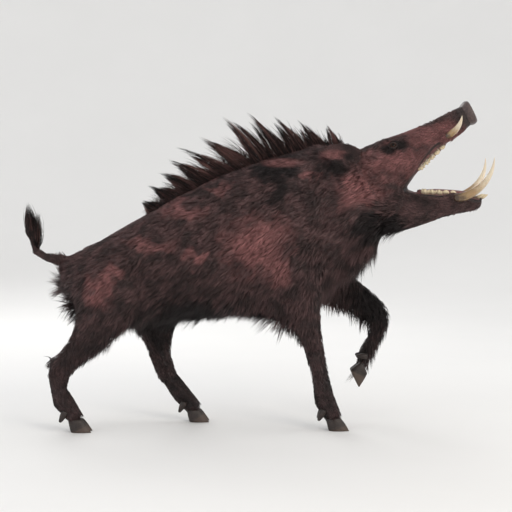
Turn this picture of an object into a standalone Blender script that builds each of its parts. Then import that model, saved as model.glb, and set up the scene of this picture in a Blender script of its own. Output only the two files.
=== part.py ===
"""Life-size adult male wild boar, head thrown up, mouth open, left forefoot lifted.

Metres, +Z up, +X towards the snout, +Y to the animal's left. The solids hold the
animal out to the tips of its coat. The body is fused from soft volumes laid along
the skeleton, then parted by thin cuts into the pieces that a person would name.
"""

import math
from typing import NamedTuple

import bmesh
import bpy
import numpy as np
from mathutils import Matrix, Vector

# ---------------------------------------------------------------- driving sizes
HEAD_LENGTH = 0.485  # occiput to the face of the snout disc
HEAD_PITCH = math.radians(31)  # head axis above level
OCCIPUT = Vector((0.880, 0.0, 0.842))
JAW_PITCH = math.radians(-8)
JAW_HINGE = Vector((0.985, 0.0, 0.826))
MOUTH_CORNER = Vector((0.153, 0.0, -0.098))  # in the head's frame
MOUTH_SPLIT = math.radians(20)  # above level, the plane that parts the jaws
TUSK_LENGTH = 0.170  # lower tusk outside the gum
UPPER_TUSK_LENGTH = 0.060
EYE_RADIUS = 0.0140
EAR_LENGTH = 0.145
MANE_HEIGHT = 0.165  # over the withers
MANE_SPIKES = 11
HOOF_LENGTH = 0.068
HOOF_HEIGHT = 0.046
GAP = 0.0003  # left between pieces that touch
SEAT = 0.0005  # left round teeth, eyes and toes in their seats

BODY_VOXEL = 0.009
FINE_VOXEL = 0.0045
BODY_TRIANGLES = 2300
MANE_TRIANGLES = 520


class Ring(NamedTuple):
    """One cross-section: centre in the side view, half-width, and reach above and below it."""

    x: float
    z: float
    wide: float
    up: float
    down: float
    y: float = 0.0


# Spine from rump to nape. "up" and "down" are measured square to the line of centres.
TORSO = (
    Ring(-0.108, 0.490, 0.060, 0.050, 0.070),
    Ring(-0.072, 0.500, 0.120, 0.102, 0.116),
    Ring(0.020, 0.520, 0.152, 0.140, 0.148),
    Ring(0.165, 0.562, 0.154, 0.162, 0.190),
    Ring(0.325, 0.610, 0.176, 0.202, 0.244),
    Ring(0.475, 0.655, 0.192, 0.244, 0.276),
    Ring(0.615, 0.697, 0.190, 0.276, 0.286),
    Ring(0.745, 0.742, 0.170, 0.256, 0.250),
    Ring(0.855, 0.798, 0.150, 0.214, 0.210),
    Ring(0.940, 0.852, 0.128, 0.152, 0.166),
)

# Upper head in its own frame: x along the head axis from the occiput, z square to it.
SKULL = (
    Ring(-0.025, -0.010, 0.062, 0.060, 0.066),
    Ring(0.020, -0.008, 0.096, 0.090, 0.104),
    Ring(0.090, -0.010, 0.100, 0.094, 0.104),
    Ring(0.165, -0.006, 0.084, 0.078, 0.084),
    Ring(0.235, -0.003, 0.062, 0.060, 0.062),
    Ring(0.310, 0.000, 0.050, 0.046, 0.049),
    Ring(0.380, 0.002, 0.043, 0.039, 0.042),
    Ring(0.424, 0.004, 0.040, 0.038, 0.037),
)

# Lower jaw in its own frame: x along the jaw from the hinge.
JAW = (
    Ring(-0.030, -0.056, 0.072, 0.074, 0.066),
    Ring(0.030, -0.054, 0.082, 0.070, 0.082),
    Ring(0.110, -0.034, 0.066, 0.048, 0.070),
    Ring(0.180, -0.018, 0.050, 0.034, 0.052),
    Ring(0.245, -0.006, 0.039, 0.026, 0.039),
    Ring(0.300, 0.003, 0.031, 0.020, 0.029),
    Ring(0.322, 0.008, 0.020, 0.013, 0.016),
)

# Limbs from the trunk down. "up" faces the front of the limb and "down" its back.
FORE_STANDING = (
    Ring(0.592, 0.850, 0.044, 0.080, 0.080, -0.100),
    Ring(0.664, 0.705, 0.068, 0.116, 0.112, -0.126),
    Ring(0.716, 0.570, 0.068, 0.100, 0.106, -0.130),
    Ring(0.702, 0.462, 0.056, 0.074, 0.078, -0.118),
    Ring(0.722, 0.374, 0.044, 0.052, 0.051, -0.104),
    Ring(0.748, 0.300, 0.037, 0.040, 0.039, -0.092),
    Ring(0.761, 0.254, 0.038, 0.041, 0.038, -0.087),
    Ring(0.772, 0.186, 0.030, 0.030, 0.032, -0.080),
    Ring(0.785, 0.115, 0.036, 0.033, 0.038, -0.074),
    Ring(0.803, 0.072, 0.034, 0.032, 0.033, -0.070),
    Ring(0.815, 0.044, 0.030, 0.030, 0.028, -0.068),
)
FORE_LIFTED = (
    Ring(0.602, 0.850, 0.044, 0.080, 0.080, 0.100),
    Ring(0.682, 0.710, 0.068, 0.116, 0.112, 0.126),
    Ring(0.760, 0.590, 0.068, 0.098, 0.104, 0.130),
    Ring(0.816, 0.500, 0.056, 0.072, 0.076, 0.124),
    Ring(0.902, 0.452, 0.045, 0.051, 0.053, 0.115),
    Ring(0.982, 0.420, 0.037, 0.040, 0.041, 0.107),
    Ring(1.016, 0.396, 0.038, 0.041, 0.039, 0.103),
    Ring(0.990, 0.330, 0.030, 0.030, 0.032, 0.098),
    Ring(0.952, 0.266, 0.036, 0.033, 0.038, 0.094),
    Ring(0.930, 0.226, 0.034, 0.032, 0.033, 0.092),
    Ring(0.919, 0.198, 0.030, 0.030, 0.028, 0.091),
)
HIND_BACK = (
    Ring(0.030, 0.600, 0.050, 0.090, 0.080, -0.080),
    Ring(0.036, 0.510, 0.072, 0.124, 0.114, -0.106),
    Ring(0.046, 0.414, 0.066, 0.110, 0.096, -0.114),
    Ring(-0.008, 0.328, 0.051, 0.074, 0.065, -0.109),
    Ring(-0.080, 0.260, 0.037, 0.043, 0.041, -0.102),
    Ring(-0.121, 0.220, 0.035, 0.040, 0.038, -0.100),
    Ring(-0.124, 0.158, 0.029, 0.030, 0.031, -0.100),
    Ring(-0.108, 0.108, 0.035, 0.032, 0.036, -0.100),
    Ring(-0.082, 0.070, 0.033, 0.032, 0.032, -0.100),
    Ring(-0.066, 0.044, 0.029, 0.029, 0.027, -0.100),
)
HIND_FORWARD = (
    Ring(0.050, 0.600, 0.050, 0.090, 0.080, 0.080),
    Ring(0.106, 0.515, 0.072, 0.120, 0.118, 0.106),
    Ring(0.172, 0.430, 0.066, 0.100, 0.104, 0.114),
    Ring(0.206, 0.332, 0.050, 0.066, 0.070, 0.114),
    Ring(0.200, 0.246, 0.036, 0.041, 0.041, 0.111),
    Ring(0.204, 0.202, 0.035, 0.040, 0.038, 0.110),
    Ring(0.244, 0.156, 0.029, 0.030, 0.031, 0.111),
    Ring(0.280, 0.110, 0.035, 0.032, 0.036, 0.112),
    Ring(0.310, 0.072, 0.033, 0.032, 0.032, 0.113),
    Ring(0.328, 0.044, 0.029, 0.029, 0.027, 0.113),
)
TAIL = (
    Ring(-0.050, 0.556, 0.026, 0.028, 0.028),
    Ring(-0.108, 0.578, 0.021, 0.022, 0.022),
    Ring(-0.166, 0.588, 0.017, 0.017, 0.017),
    Ring(-0.208, 0.610, 0.014, 0.014, 0.014),
    Ring(-0.224, 0.656, 0.012, 0.012, 0.012),
)
TAIL_TUFT = (
    Ring(-0.2242, 0.657, 0.011, 0.012, 0.012),
    Ring(-0.228, 0.694, 0.014, 0.018, 0.024),
    Ring(-0.234, 0.738, 0.011, 0.015, 0.022),
    Ring(-0.246, 0.780, 0.003, 0.004, 0.004),
)

# Where the sole of each foot is, and how far the toes hang down.
FEET = {
    "foreleg_right": ((0.828, -0.067, 0.0), 0.0),
    "foreleg_left": ((0.896, 0.090, 0.166), math.radians(64)),
    "hindleg_right": ((-0.052, -0.100, 0.0), 0.0),
    "hindleg_left": ((0.342, 0.113, 0.0), 0.0),
}

LIMBS = {
    "foreleg_right": FORE_STANDING,
    "foreleg_left": FORE_LIFTED,
    "hindleg_right": HIND_BACK,
    "hindleg_left": HIND_FORWARD,
}
# For the cuts: which station is the knee or hock, then how far a leg's cutter runs on
# beyond it, and its reach to the front and back there.
LEG_CUTS = {
    "foreleg_right": (6, 0.30, 0.12, 0.12),
    "foreleg_left": (6, 0.09, 0.07, 0.38),
    "hindleg_right": (5, 0.16, 0.38, 0.08),
    "hindleg_left": (5, 0.26, 0.22, 0.10),
}

COLOURS = {
    "coat": ((0.040, 0.025, 0.024), 0.85),
    "bristle": ((0.016, 0.012, 0.011), 0.80),
    "nose": ((0.060, 0.034, 0.032), 0.45),
    "ivory": ((0.700, 0.620, 0.500), 0.35),
    "horn": ((0.030, 0.026, 0.023), 0.50),
    "eye": ((0.015, 0.010, 0.008), 0.10),
    "tongue": ((0.330, 0.120, 0.110), 0.40),
}


# ---------------------------------------------------------------- frames
def pitched(origin, pitch):
    """A frame at origin whose X axis is raised by pitch above level."""
    return Matrix.Translation(origin) @ Matrix.Rotation(-pitch, 4, "Y")


HEAD = pitched(OCCIPUT, HEAD_PITCH) @ Matrix.Scale(HEAD_LENGTH / 0.445, 4)
LOWER_JAW = pitched(JAW_HINGE, JAW_PITCH) @ Matrix.Scale(HEAD_LENGTH / 0.445, 4)


# ---------------------------------------------------------------- soft volumes
def smooth_between(rows, place):
    """The value at place, counted in rows, on a smooth curve through every row."""
    last = len(rows) - 1
    i = min(int(place), last - 1)
    t = place - i
    before, a, b, after = (rows[min(max(k, 0), last)] for k in (i - 1, i, i + 1, i + 2))
    return (
        a
        + (b - before) * (t / 2)
        + (2 * before - 5 * a + 4 * b - after) * (t * t / 2)
        + (3 * a - before - 3 * b + after) * (t**3 / 2)
    )


def rounded(value, squareness):
    """A cosine or sine pushed outwards, so that a circle becomes a softened box."""
    return math.copysign(abs(value) ** (2 / squareness), value)


def sphere_points(rings, sides):
    """A closed ball whose vertices hold (share along it, turn round it, reach from its line).

    Reach is 1 on the rings and 0 at the two poles, which close the ends.
    """
    mesh = bmesh.new()
    bmesh.ops.create_uvsphere(mesh, u_segments=sides, v_segments=rings + 1, radius=1)
    for vertex in mesh.verts:
        latitude = math.acos(max(-1.0, min(1.0, -vertex.co.z))) / math.pi
        share = (latitude * (rings + 1) - 1) / (rings - 1)
        pole = share < -1e-4 or share > 1 + 1e-4
        turn = math.atan2(vertex.co.y, vertex.co.x)
        vertex.co = (min(max(share, 0), 1), turn, 0 if pole else 1)
    return mesh


def tube(name, stations, frame=None, sides=20, density=3, squareness=2.2):
    """A closed body through the stations, smooth along its length, as a new object."""
    rows = [np.array(s) for s in stations]
    rings = (len(rows) - 1) * density + 1
    mesh = sphere_points(rings, sides)
    for vertex in mesh.verts:
        share, turn, reach = vertex.co
        place = share * (len(rows) - 1)
        x, z, wide, up, down, y = smooth_between(rows, place)
        ahead = smooth_between(rows, min(place + 0.05, len(rows) - 1))
        behind = smooth_between(rows, max(place - 0.05, 0))
        along = Vector((ahead[0] - behind[0], 0, ahead[1] - behind[1])).normalized()
        top = along.cross(Vector((0, 1, 0)))
        lift = rounded(math.sin(turn), squareness)
        offset = top * lift * (up if lift > 0 else down) * reach
        offset.y = rounded(math.cos(turn), squareness) * wide * reach
        vertex.co = Vector((x, y, z)) + offset
    return finished(name, mesh, frame)


def ball(name, centre, radii, frame=None, pitch=0.0, sides=20):
    """An ellipsoid with its long axis raised by pitch."""
    mesh = bmesh.new()
    place = pitched(Vector(centre), pitch) @ Matrix.Diagonal((*radii, 1))
    bmesh.ops.create_uvsphere(
        mesh, u_segments=sides, v_segments=sides // 2 + 2, radius=1, matrix=place
    )
    return finished(name, mesh, frame)


def finished(name, mesh, frame=None):
    """The bmesh as a named object in the scene, facing outwards."""
    if frame is not None:
        bmesh.ops.transform(mesh, matrix=frame, verts=mesh.verts)
    bmesh.ops.recalc_face_normals(mesh, faces=mesh.faces)
    data = bpy.data.meshes.new(name)
    mesh.to_mesh(data)
    mesh.free()
    obj = bpy.data.objects.new(name, data)
    bpy.context.scene.collection.objects.link(obj)
    return obj


# ---------------------------------------------------------------- clay work
def drop(*objects):
    """Removes objects from the scene."""
    for obj in objects:
        bpy.data.objects.remove(obj)


def applied(obj):
    """The object with its modifiers made part of its mesh."""
    graph = bpy.context.evaluated_depsgraph_get()
    data = bpy.data.meshes.new_from_object(obj.evaluated_get(graph))
    obj.modifiers.clear()
    obj.data = data
    return obj


def fused(name, volumes, voxel, smoothing):
    """All the volumes as one soft body: joined, remeshed and smoothed."""
    mesh = bmesh.new()
    for volume in volumes:
        mesh.from_mesh(volume.data)
    body = finished(name, mesh)
    drop(*volumes)
    remesh = body.modifiers.new("remesh", "REMESH")
    remesh.mode = "VOXEL"
    remesh.voxel_size = voxel
    smooth = body.modifiers.new("smooth", "SMOOTH")
    smooth.factor = 0.5
    smooth.iterations = smoothing
    return applied(body)


def thinned(obj, triangles, fine_from=None):
    """The object brought down to about this many triangles, finer ahead of fine_from."""
    obj.data.calc_loop_triangles()
    decimate = obj.modifiers.new("decimate", "DECIMATE")
    if fine_from is not None:
        coarse = obj.vertex_groups.new(name="coarse")
        for vertex in obj.data.vertices:
            plain = vertex.co.x < fine_from or vertex.co.z < 0.5
            coarse.add([vertex.index], 1.0 if plain else 0.75, "REPLACE")
        decimate.vertex_group = coarse.name
    decimate.ratio = triangles / len(obj.data.loop_triangles)
    decimate.use_collapse_triangulate = True
    return applied(obj)


def combined(obj, other, operation):
    """obj with other cut away, kept as the common part, or joined on."""
    boolean = obj.modifiers.new(operation.lower(), "BOOLEAN")
    boolean.operation = operation
    boolean.object = other
    boolean.solver = "EXACT"
    return applied(obj)


def grown(obj, by):
    """A copy of obj, swollen by this much."""
    copy = bpy.data.objects.new(obj.name + "_grown", obj.data.copy())
    bpy.context.scene.collection.objects.link(copy)
    swell = copy.modifiers.new("swell", "DISPLACE")
    swell.mid_level = 0
    swell.strength = by
    return applied(copy)


def block(origin, pitch, reach=0.8, below=0.4, above=0.4):
    """A box to cut with: it lies ahead of a plane through origin that is square to pitch."""
    mesh = bmesh.new()
    size = Matrix.Diagonal((reach, 1.0, below + above, 1))
    middle = Matrix.Translation((reach / 2, 0, (above - below) / 2))
    bmesh.ops.create_cube(mesh, size=1, matrix=pitched(Vector(origin), pitch) @ middle @ size)
    return finished("cutter", mesh)


def parted(body, name, cutter):
    """Cuts the part of body inside the cutter away as a new object, and returns it."""
    part = bpy.data.objects.new(name, body.data.copy())
    bpy.context.scene.collection.objects.link(part)
    combined(part, cutter, "INTERSECT")
    make_room(body, cutter, gap=GAP)
    drop(cutter)
    return part


def make_room(obj, *guests, gap=SEAT):
    """Cuts a close seat in obj for each of the guests."""
    for guest in guests:
        seat = grown(guest, gap)
        combined(obj, seat, "DIFFERENCE")
        drop(seat)


# ---------------------------------------------------------------- the body
def limb_tubes():
    """The four limbs as tubes."""
    return [tube("limb", stations, sides=16) for stations in LIMBS.values()]


def joint_points():
    """The bony points of the hocks, elbows and knees."""
    spots = (
        ((-0.140, -0.100, 0.236), (0.018, 0.020, 0.032), 0.5),
        ((0.186, 0.110, 0.222), (0.018, 0.020, 0.032), -0.1),
        ((0.645, -0.118, 0.452), (0.030, 0.026, 0.034), 0.0),
        ((0.772, 0.128, 0.462), (0.034, 0.026, 0.030), 0.0),
        ((0.772, -0.087, 0.262), (0.026, 0.030, 0.032), 0.0),
        ((1.028, 0.103, 0.402), (0.024, 0.030, 0.026), 0.0),
    )
    return [ball("joint", centre, radii, pitch=pitch, sides=12) for centre, radii, pitch in spots]


def body_volume():
    """Trunk, neck, limbs, tail and head as one fused body."""
    rough = fused("rough", [tube("torso", TORSO, sides=28), *limb_tubes()], BODY_VOXEL, 14)
    tail = tube("tail", TAIL, sides=12)
    details = [*limb_tubes(), *joint_points(), tail, *head_volumes(), *jaw_volumes()]
    return fused("body", [rough, *details], FINE_VOXEL, 8)


def head_volumes():
    """Skull, brows, cheek arches and jowls, in the head's frame."""
    volumes = [tube("skull", SKULL, HEAD, sides=24, squareness=2.3)]
    for side in (-1, 1):
        volumes += [
            ball("brow", (0.148, side * 0.054, 0.044), (0.048, 0.026, 0.028), HEAD, -0.16),
            ball("cheek", (0.130, side * 0.068, -0.032), (0.084, 0.030, 0.048), HEAD, 0.10),
            ball("jowl", (0.058, side * 0.066, -0.088), (0.074, 0.036, 0.068), HEAD, 0.7),
            ball("tusk_bed", (0.338, side * 0.040, -0.020), (0.036, 0.017, 0.022), HEAD, 0.1),
        ]
    return volumes


def jaw_volumes():
    """The lower jaw with the swellings over the tusk roots, in the jaw's frame."""
    volumes = [tube("jaw", JAW, LOWER_JAW, sides=20, squareness=2.4)]
    for side in (-1, 1):
        volumes.append(
            ball("tusk_root", (0.232, side * 0.034, 0.000), (0.036, 0.017, 0.022), LOWER_JAW)
        )
    return volumes


# ---------------------------------------------------------------- head pieces
def nose_disc():
    """The gristle disc that ends the snout, with its two nostrils."""
    start, depth, width, height = 0.4255, 0.0195, 0.0435, 0.0400
    rings = (
        Ring(start, 0.004, width * 0.86, height * 0.86, height * 0.86),
        Ring(start + depth * 0.30, 0.004, width * 0.98, height * 0.98, height * 0.98),
        Ring(start + depth * 0.75, 0.004, width, height, height),
        Ring(start + depth, 0.004, width * 0.90, height * 0.90, height * 0.90),
    )
    obj = tube("nose_disc", rings, HEAD, sides=18, density=1, squareness=2.3)
    for side in (-1, 1):
        centre = (0.450, side * 0.0165, 0.006)
        bore = ball("nostril", centre, (0.016, 0.0065, 0.0095), HEAD, sides=8)
        combined(obj, bore, "DIFFERENCE")
        drop(bore)
    return obj


def ear(side, word):
    """A cupped, leaf-shaped ear, laid back level over the neck with its hollow outwards."""
    half_width, half_thick = 0.043, 0.0065
    mesh = sphere_points(7, 10)
    for vertex in mesh.verts:
        share, turn, reach = vertex.co
        leaf = math.sin(math.pi * (0.16 + 0.84 * share) * 0.97) ** 0.62 * (1 - 0.22 * share)
        across = math.cos(turn) * half_width * leaf * reach
        thick = math.sin(turn) * half_thick * (1.25 - 0.6 * share) * reach
        cup = 8.0 * across * across * (1 - 0.5 * share)
        vertex.co = (share * EAR_LENGTH, across, thick + cup - 0.02 * share * share)
    length = Vector((-0.66, side * 0.50, 0.56)).normalized()
    hollow = Vector((0.55, side * 0.80, -0.10))
    hollow = (hollow - length * hollow.dot(length)).normalized()
    lie = Matrix((length, hollow.cross(length), hollow)).transposed().to_4x4()
    root = Matrix.Translation((0.060, side * 0.072, 0.060))
    return finished(f"ear_{word}", mesh, HEAD @ root @ lie)


def tusk(name, frame, root, start, bend, splay, length, radius):
    """A tapering tusk that curves up by bend on its way. Its root goes into the bone."""
    steps, buried = 5 + round(bend * 3), 0.020
    mesh = sphere_points(steps, 8)
    place, heading, spots = Vector(root), start, []
    step = (length + buried) / (steps - 1)
    for _ in range(steps):
        spots.append((place.copy(), heading))
        place += Vector((math.cos(heading), splay, math.sin(heading))) * step
        heading += bend / (steps - 1)
    for vertex in mesh.verts:
        share, turn, reach = vertex.co
        spot, pitch = spots[round(share * (steps - 1))]
        size = radius * (1 - share**2.1) + 0.0006
        square = Vector((-math.sin(pitch), 0, math.cos(pitch)))
        across = Vector((0, 0.86, 0)) * math.cos(turn)
        vertex.co = spot + (square * math.sin(turn) + across) * size * reach
    return finished(name, mesh, frame)


def tusks():
    """The lower tusks, which show most, and the short upper ones that whet them."""
    rise, hook = math.radians(86), math.radians(70)
    pieces = []
    for side, word in ((-1, "right"), (1, "left")):
        low = (0.228, side * 0.038, 0.004), math.radians(14), rise, side * 0.26
        high = (0.330, side * 0.046, -0.020), math.radians(-10), hook, side * 0.55
        pieces.append(tusk(f"tusk_lower_{word}", LOWER_JAW, *low, TUSK_LENGTH, 0.0130))
        pieces.append(tusk(f"tusk_upper_{word}", HEAD, *high, UPPER_TUSK_LENGTH, 0.0105))
    return pieces


def tooth_row(frame, places, radii, lean=0.0):
    """Teeth that touch one another, joined into one volume."""
    row = None
    for place in places:
        tooth = ball("teeth", place, radii, frame, lean, sides=6)
        if row is None:
            row = tooth
        else:
            combined(row, tooth, "UNION")
            drop(tooth)
    return row


def teeth():
    """Cheek teeth above and below on both sides, and the six lower front teeth."""
    rows = []
    crown = (0.0134, 0.0070, 0.0125)
    for side in (-1, 1):
        steps = range(5)
        low = [(0.132 + 0.023 * i, side * (0.031 - 0.002 * i), 0.009 + 0.0026 * i) for i in steps]
        high = [(0.216 + 0.023 * i, side * (0.033 - 0.0016 * i), 0.0045 * i - 0.062) for i in steps]
        rows.append(tooth_row(LOWER_JAW, low, crown))
        rows.append(tooth_row(HEAD, high, crown))
    spread = [i - 2.5 for i in range(6)]
    front = [(0.317 - 0.0020 * off * off, off * 0.0066, 0.0200) for off in spread]
    rows.append(tooth_row(LOWER_JAW, front, (0.0200, 0.0046, 0.0050), 0.6))
    return rows


def tongue():
    """The tongue, lying in the jaw with its tip behind the front teeth."""
    rings = (
        Ring(0.120, 0.006, 0.017, 0.013, 0.012),
        Ring(0.170, 0.016, 0.019, 0.010, 0.010),
        Ring(0.225, 0.0225, 0.016, 0.008, 0.008),
        Ring(0.272, 0.0265, 0.012, 0.006, 0.006),
        Ring(0.288, 0.0285, 0.006, 0.003, 0.003),
    )
    return tube("tongue", rings, LOWER_JAW, sides=12, density=1)


def eyes():
    """The two eyeballs, seated in the head."""
    return [
        ball(f"eye_{word}", (0.168, side * 0.0660, 0.0385), (EYE_RADIUS,) * 3, HEAD, sides=10)
        for side, word in ((-1, "right"), (1, "left"))
    ]


# ---------------------------------------------------------------- feet
def digit(name, foot, out, toe_out):
    """One cloven toe with a flat sole and a sloping front, in the foot's frame."""
    mesh = sphere_points(3, 12)
    for vertex in mesh.verts:
        share, turn, reach = vertex.co
        spread = 1 - 0.30 * share**1.3
        front = math.cos(turn)
        long = HOOF_LENGTH * (0.60 if front > 0 else 0.42) * spread
        pinch = 1 - 0.42 * max(front, 0) ** 2
        x = long * front * reach - 0.26 * HOOF_LENGTH * share
        y = 0.0155 * math.sin(turn) * pinch * spread * reach
        vertex.co = (x, y, HOOF_HEIGHT * share)
    place = Matrix.Translation((0, out, 0)) @ Matrix.Rotation(toe_out, 4, "Z")
    return finished(name, mesh, foot @ place)


def dewclaw(name, foot, side):
    """A small horn cone at the back of the foot, clear of the ground."""
    rings = (
        Ring(0.004, 0.010, 0.0105, 0.0110, 0.0110),
        Ring(-0.004, -0.006, 0.0105, 0.0110, 0.0110),
        Ring(-0.014, -0.026, 0.0050, 0.0050, 0.0050),
    )
    place = Matrix.Translation((-0.050, side * 0.026, 0.064))
    return tube(name, rings, foot @ place, sides=8, density=1)


def foot_pieces(leg):
    """The two main toes and the two dewclaws of a leg."""
    place, hang = FEET[leg]
    foot = Matrix.Translation(place) @ Matrix.Rotation(hang, 4, "Y")
    pieces = []
    for side, word in ((-1, "right"), (1, "left")):
        pieces.append(digit(f"{leg}_toe_{word}", foot, side * 0.0175, side * math.radians(5)))
        pieces.append(dewclaw(f"{leg}_dewclaw_{word}", foot, side))
    return pieces


# ---------------------------------------------------------------- mane
def crest_line():
    """Points on the top of the neck and back, from the poll to the middle of the back."""
    rows = [np.array(r) for r in TORSO]
    points = [HEAD @ Vector((0.050, 0, 0.074))]
    for place in np.linspace(8.5, 3.2, 12):
        x, z, _, up, _, _ = smooth_between(rows, place)
        ahead = smooth_between(rows, place + 0.05)
        along = Vector((ahead[0] - x, 0, ahead[1] - z)).normalized()
        points.append(Vector((x, 0, z)) + along.cross(Vector((0, 1, 0))) * (up - 0.012))
    return points


def mane(body):
    """The crest of bristles, from between the ears to the middle of the back."""
    line = crest_line()
    last = len(line) - 1
    shares = (0.34, 0.46, 0.64, 0.84, 0.98, 1, 1, 0.96, 0.88, 0.76, 0.60, 0.42, 0.20)
    heights = np.array(shares) * MANE_HEIGHT
    ridge = [Ring(p.x, p.z, 0.027, 0.034, 0.45 * h) for p, h in zip(line, heights)]
    volumes = [tube("ridge", ridge, sides=14, density=2, squareness=1.8)]
    for k in range(MANE_SPIKES):
        place = last * (k + 0.7) / (MANE_SPIKES + 0.5)
        foot = smooth_between(line, place)
        back = (smooth_between(line, min(place + 0.4, last)) - foot).normalized()
        up = back.cross(Vector((0, 1, 0)))
        up *= math.copysign(1, up.z)
        height = float(smooth_between(heights, place))
        knee = foot + up * height * 0.50 + back * height * 0.16
        tip = foot + up * height * 1.02 + back * height * 0.66
        spike = [
            Ring(foot.x, foot.z, 0.020, 0.030, 0.030),
            Ring(knee.x, knee.z, 0.015, 0.026, 0.026),
            Ring(tip.x, tip.z, 0.0030, 0.0035, 0.0035),
        ]
        volumes.append(tube("spike", spike, sides=8, density=3))
    obj = thinned(fused("mane", volumes, 0.0035, 1), MANE_TRIANGLES)
    make_room(obj, body)
    return obj


# ---------------------------------------------------------------- assembly
def material(name):
    """A plain surface in the piece's colour."""
    made = bpy.data.materials.new(name)
    made.use_nodes = True
    shader = made.node_tree.nodes["Principled BSDF"]
    colour, roughness = COLOURS[name]
    shader.inputs["Base Color"].default_value = (*colour, 1)
    shader.inputs["Roughness"].default_value = roughness
    shader.inputs["Metallic"].default_value = 0.0
    return made


def dress(objects, name):
    """Gives each object the named material and smooth shading."""
    made = material(name)
    for obj in objects:
        obj.data.materials.clear()
        obj.data.materials.append(made)
        obj.data.shade_smooth()


def stand_on_origin(objects):
    """Moves every piece so that the box round them all stands centred on the origin."""
    corners = np.array([v.co for o in objects for v in o.data.vertices])
    low, high = corners.min(0), corners.max(0)
    shift = Matrix.Translation((-(low[0] + high[0]) / 2, -(low[1] + high[1]) / 2, -low[2]))
    for obj in objects:
        obj.data.transform(shift)


def whole_limb(leg):
    """A simple volume that holds a leg, shoulder or thigh and all."""
    stations, (knee, beyond, front, back) = LIMBS[leg], LEG_CUTS[leg]
    top, elbow, joint = stations[1], stations[3], stations[knee]
    along = Vector((joint.x - elbow.x, joint.z - elbow.z)).normalized() * beyond
    rings = (
        top._replace(wide=top.wide + 0.030, up=top.up - 0.012, down=top.down + 0.004),
        elbow._replace(wide=elbow.wide + 0.026, up=elbow.up + 0.020, down=elbow.down + 0.026),
        Ring(joint.x + along.x, joint.z + along.y, 0.080, front, back, joint.y),
    )
    limb = tube("limb", rings, sides=14, density=1)
    mesh = bmesh.new()
    for vertex in limb.data.vertices:
        mesh.verts.new(vertex.co)
    drop(limb)
    hull = bmesh.ops.convex_hull(mesh, input=mesh.verts)
    inside = {v for v in hull["geom_interior"] if isinstance(v, bmesh.types.BMVert)}
    bmesh.ops.delete(mesh, geom=list(inside), context="VERTS")
    return finished("limb", mesh)


def below_knee(leg):
    """A box that holds a leg from its knee or hock down."""
    stations, knee = LIMBS[leg], LEG_CUTS[leg][0]
    joint, under = stations[knee], stations[knee + 1]
    pitch = math.atan2(under.z - joint.z, under.x - joint.x)
    back, front = (0.055, 0.17) if leg.startswith("fore") else (0.08, 0.14)
    return block((joint.x, joint.y, joint.z), pitch, 0.40, back, front)


def main():
    for obj in list(bpy.data.objects):
        bpy.data.objects.remove(obj)

    body = thinned(body_volume(), BODY_TRIANGLES, OCCIPUT.x)
    crest = mane(body)
    for row in teeth():
        combined(body, row, "UNION")
        drop(row)

    uppers, lowers = [], []
    for leg in LIMBS:
        upper = parted(body, f"{leg}_upper", whole_limb(leg))
        lower = parted(upper, f"{leg}_lower", below_knee(leg))
        toes = foot_pieces(leg)
        make_room(lower, *toes)
        dress(toes, "horn")
        uppers.append(upper)
        lowers.append(lower)
    head = parted(body, "head", block(HEAD @ Vector((0.004, 0, 0)), HEAD_PITCH))
    jaw_plane = block(HEAD @ MOUTH_CORNER, MOUTH_SPLIT - math.pi / 2, 0.6, 0.7, 0.7)
    jaw = parted(head, "lower_jaw", jaw_plane)
    tail = parted(body, "tail", block((-0.104, 0, 0.577), math.radians(160), 0.3, 0.08, 0.08))
    neck = parted(body, "neck", block((0.80, 0, 0.74), math.radians(24), 0.4, 0.5, 0.5))
    body.name = body.data.name = "trunk"

    ears = [ear(-1, "right"), ear(1, "left")]
    for leaf in ears:
        make_room(leaf, head)
        make_room(leaf, neck)
    balls = eyes()
    ivory = tusks()
    disc = nose_disc()
    lick = tongue()
    make_room(jaw, *ivory, lick)
    make_room(head, *ivory, *balls, disc, lick)
    tuft = tube("tail_tuft", TAIL_TUFT, sides=8, density=2)
    make_room(tuft, tail)

    dress([body, head, jaw, neck, tail, *uppers, *lowers, *ears], "coat")
    dress([crest, tuft], "bristle")
    dress(ivory, "ivory")
    dress([disc], "nose")
    dress(balls, "eye")
    dress([lick], "tongue")
    stand_on_origin([obj for obj in bpy.data.objects if obj.type == "MESH"])


main()
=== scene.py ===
"""Looks of a life-size wild boar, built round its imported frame.

One skin stands for all the nodes of flesh. Locks of hair lie over it, and the mane, tail tuft,
tusks, teeth, eyes, snout disc, tongue and hooves are pieces of their own.
"""

import sys

import logging
import math
from collections.abc import Sequence
from dataclasses import dataclass, field, replace
from enum import Enum

import bmesh
import bpy
import numpy as np
from mathutils import Matrix, Vector, kdtree
from mathutils.bvhtree import BVHTree


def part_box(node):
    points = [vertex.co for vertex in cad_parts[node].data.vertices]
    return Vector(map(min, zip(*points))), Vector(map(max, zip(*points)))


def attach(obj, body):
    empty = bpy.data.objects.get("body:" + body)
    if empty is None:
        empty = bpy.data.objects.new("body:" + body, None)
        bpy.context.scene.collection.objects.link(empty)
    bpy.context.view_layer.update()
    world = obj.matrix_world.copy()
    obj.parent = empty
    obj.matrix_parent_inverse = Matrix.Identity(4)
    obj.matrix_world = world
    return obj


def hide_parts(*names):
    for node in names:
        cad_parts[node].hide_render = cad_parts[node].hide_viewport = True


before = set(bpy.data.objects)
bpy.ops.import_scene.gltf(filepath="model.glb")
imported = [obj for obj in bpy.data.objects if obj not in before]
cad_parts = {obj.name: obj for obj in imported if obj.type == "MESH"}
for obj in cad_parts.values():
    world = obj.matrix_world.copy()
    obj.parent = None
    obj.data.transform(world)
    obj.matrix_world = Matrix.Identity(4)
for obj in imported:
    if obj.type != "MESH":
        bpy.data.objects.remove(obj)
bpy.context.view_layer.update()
LOG = logging.getLogger("boar")

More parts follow.
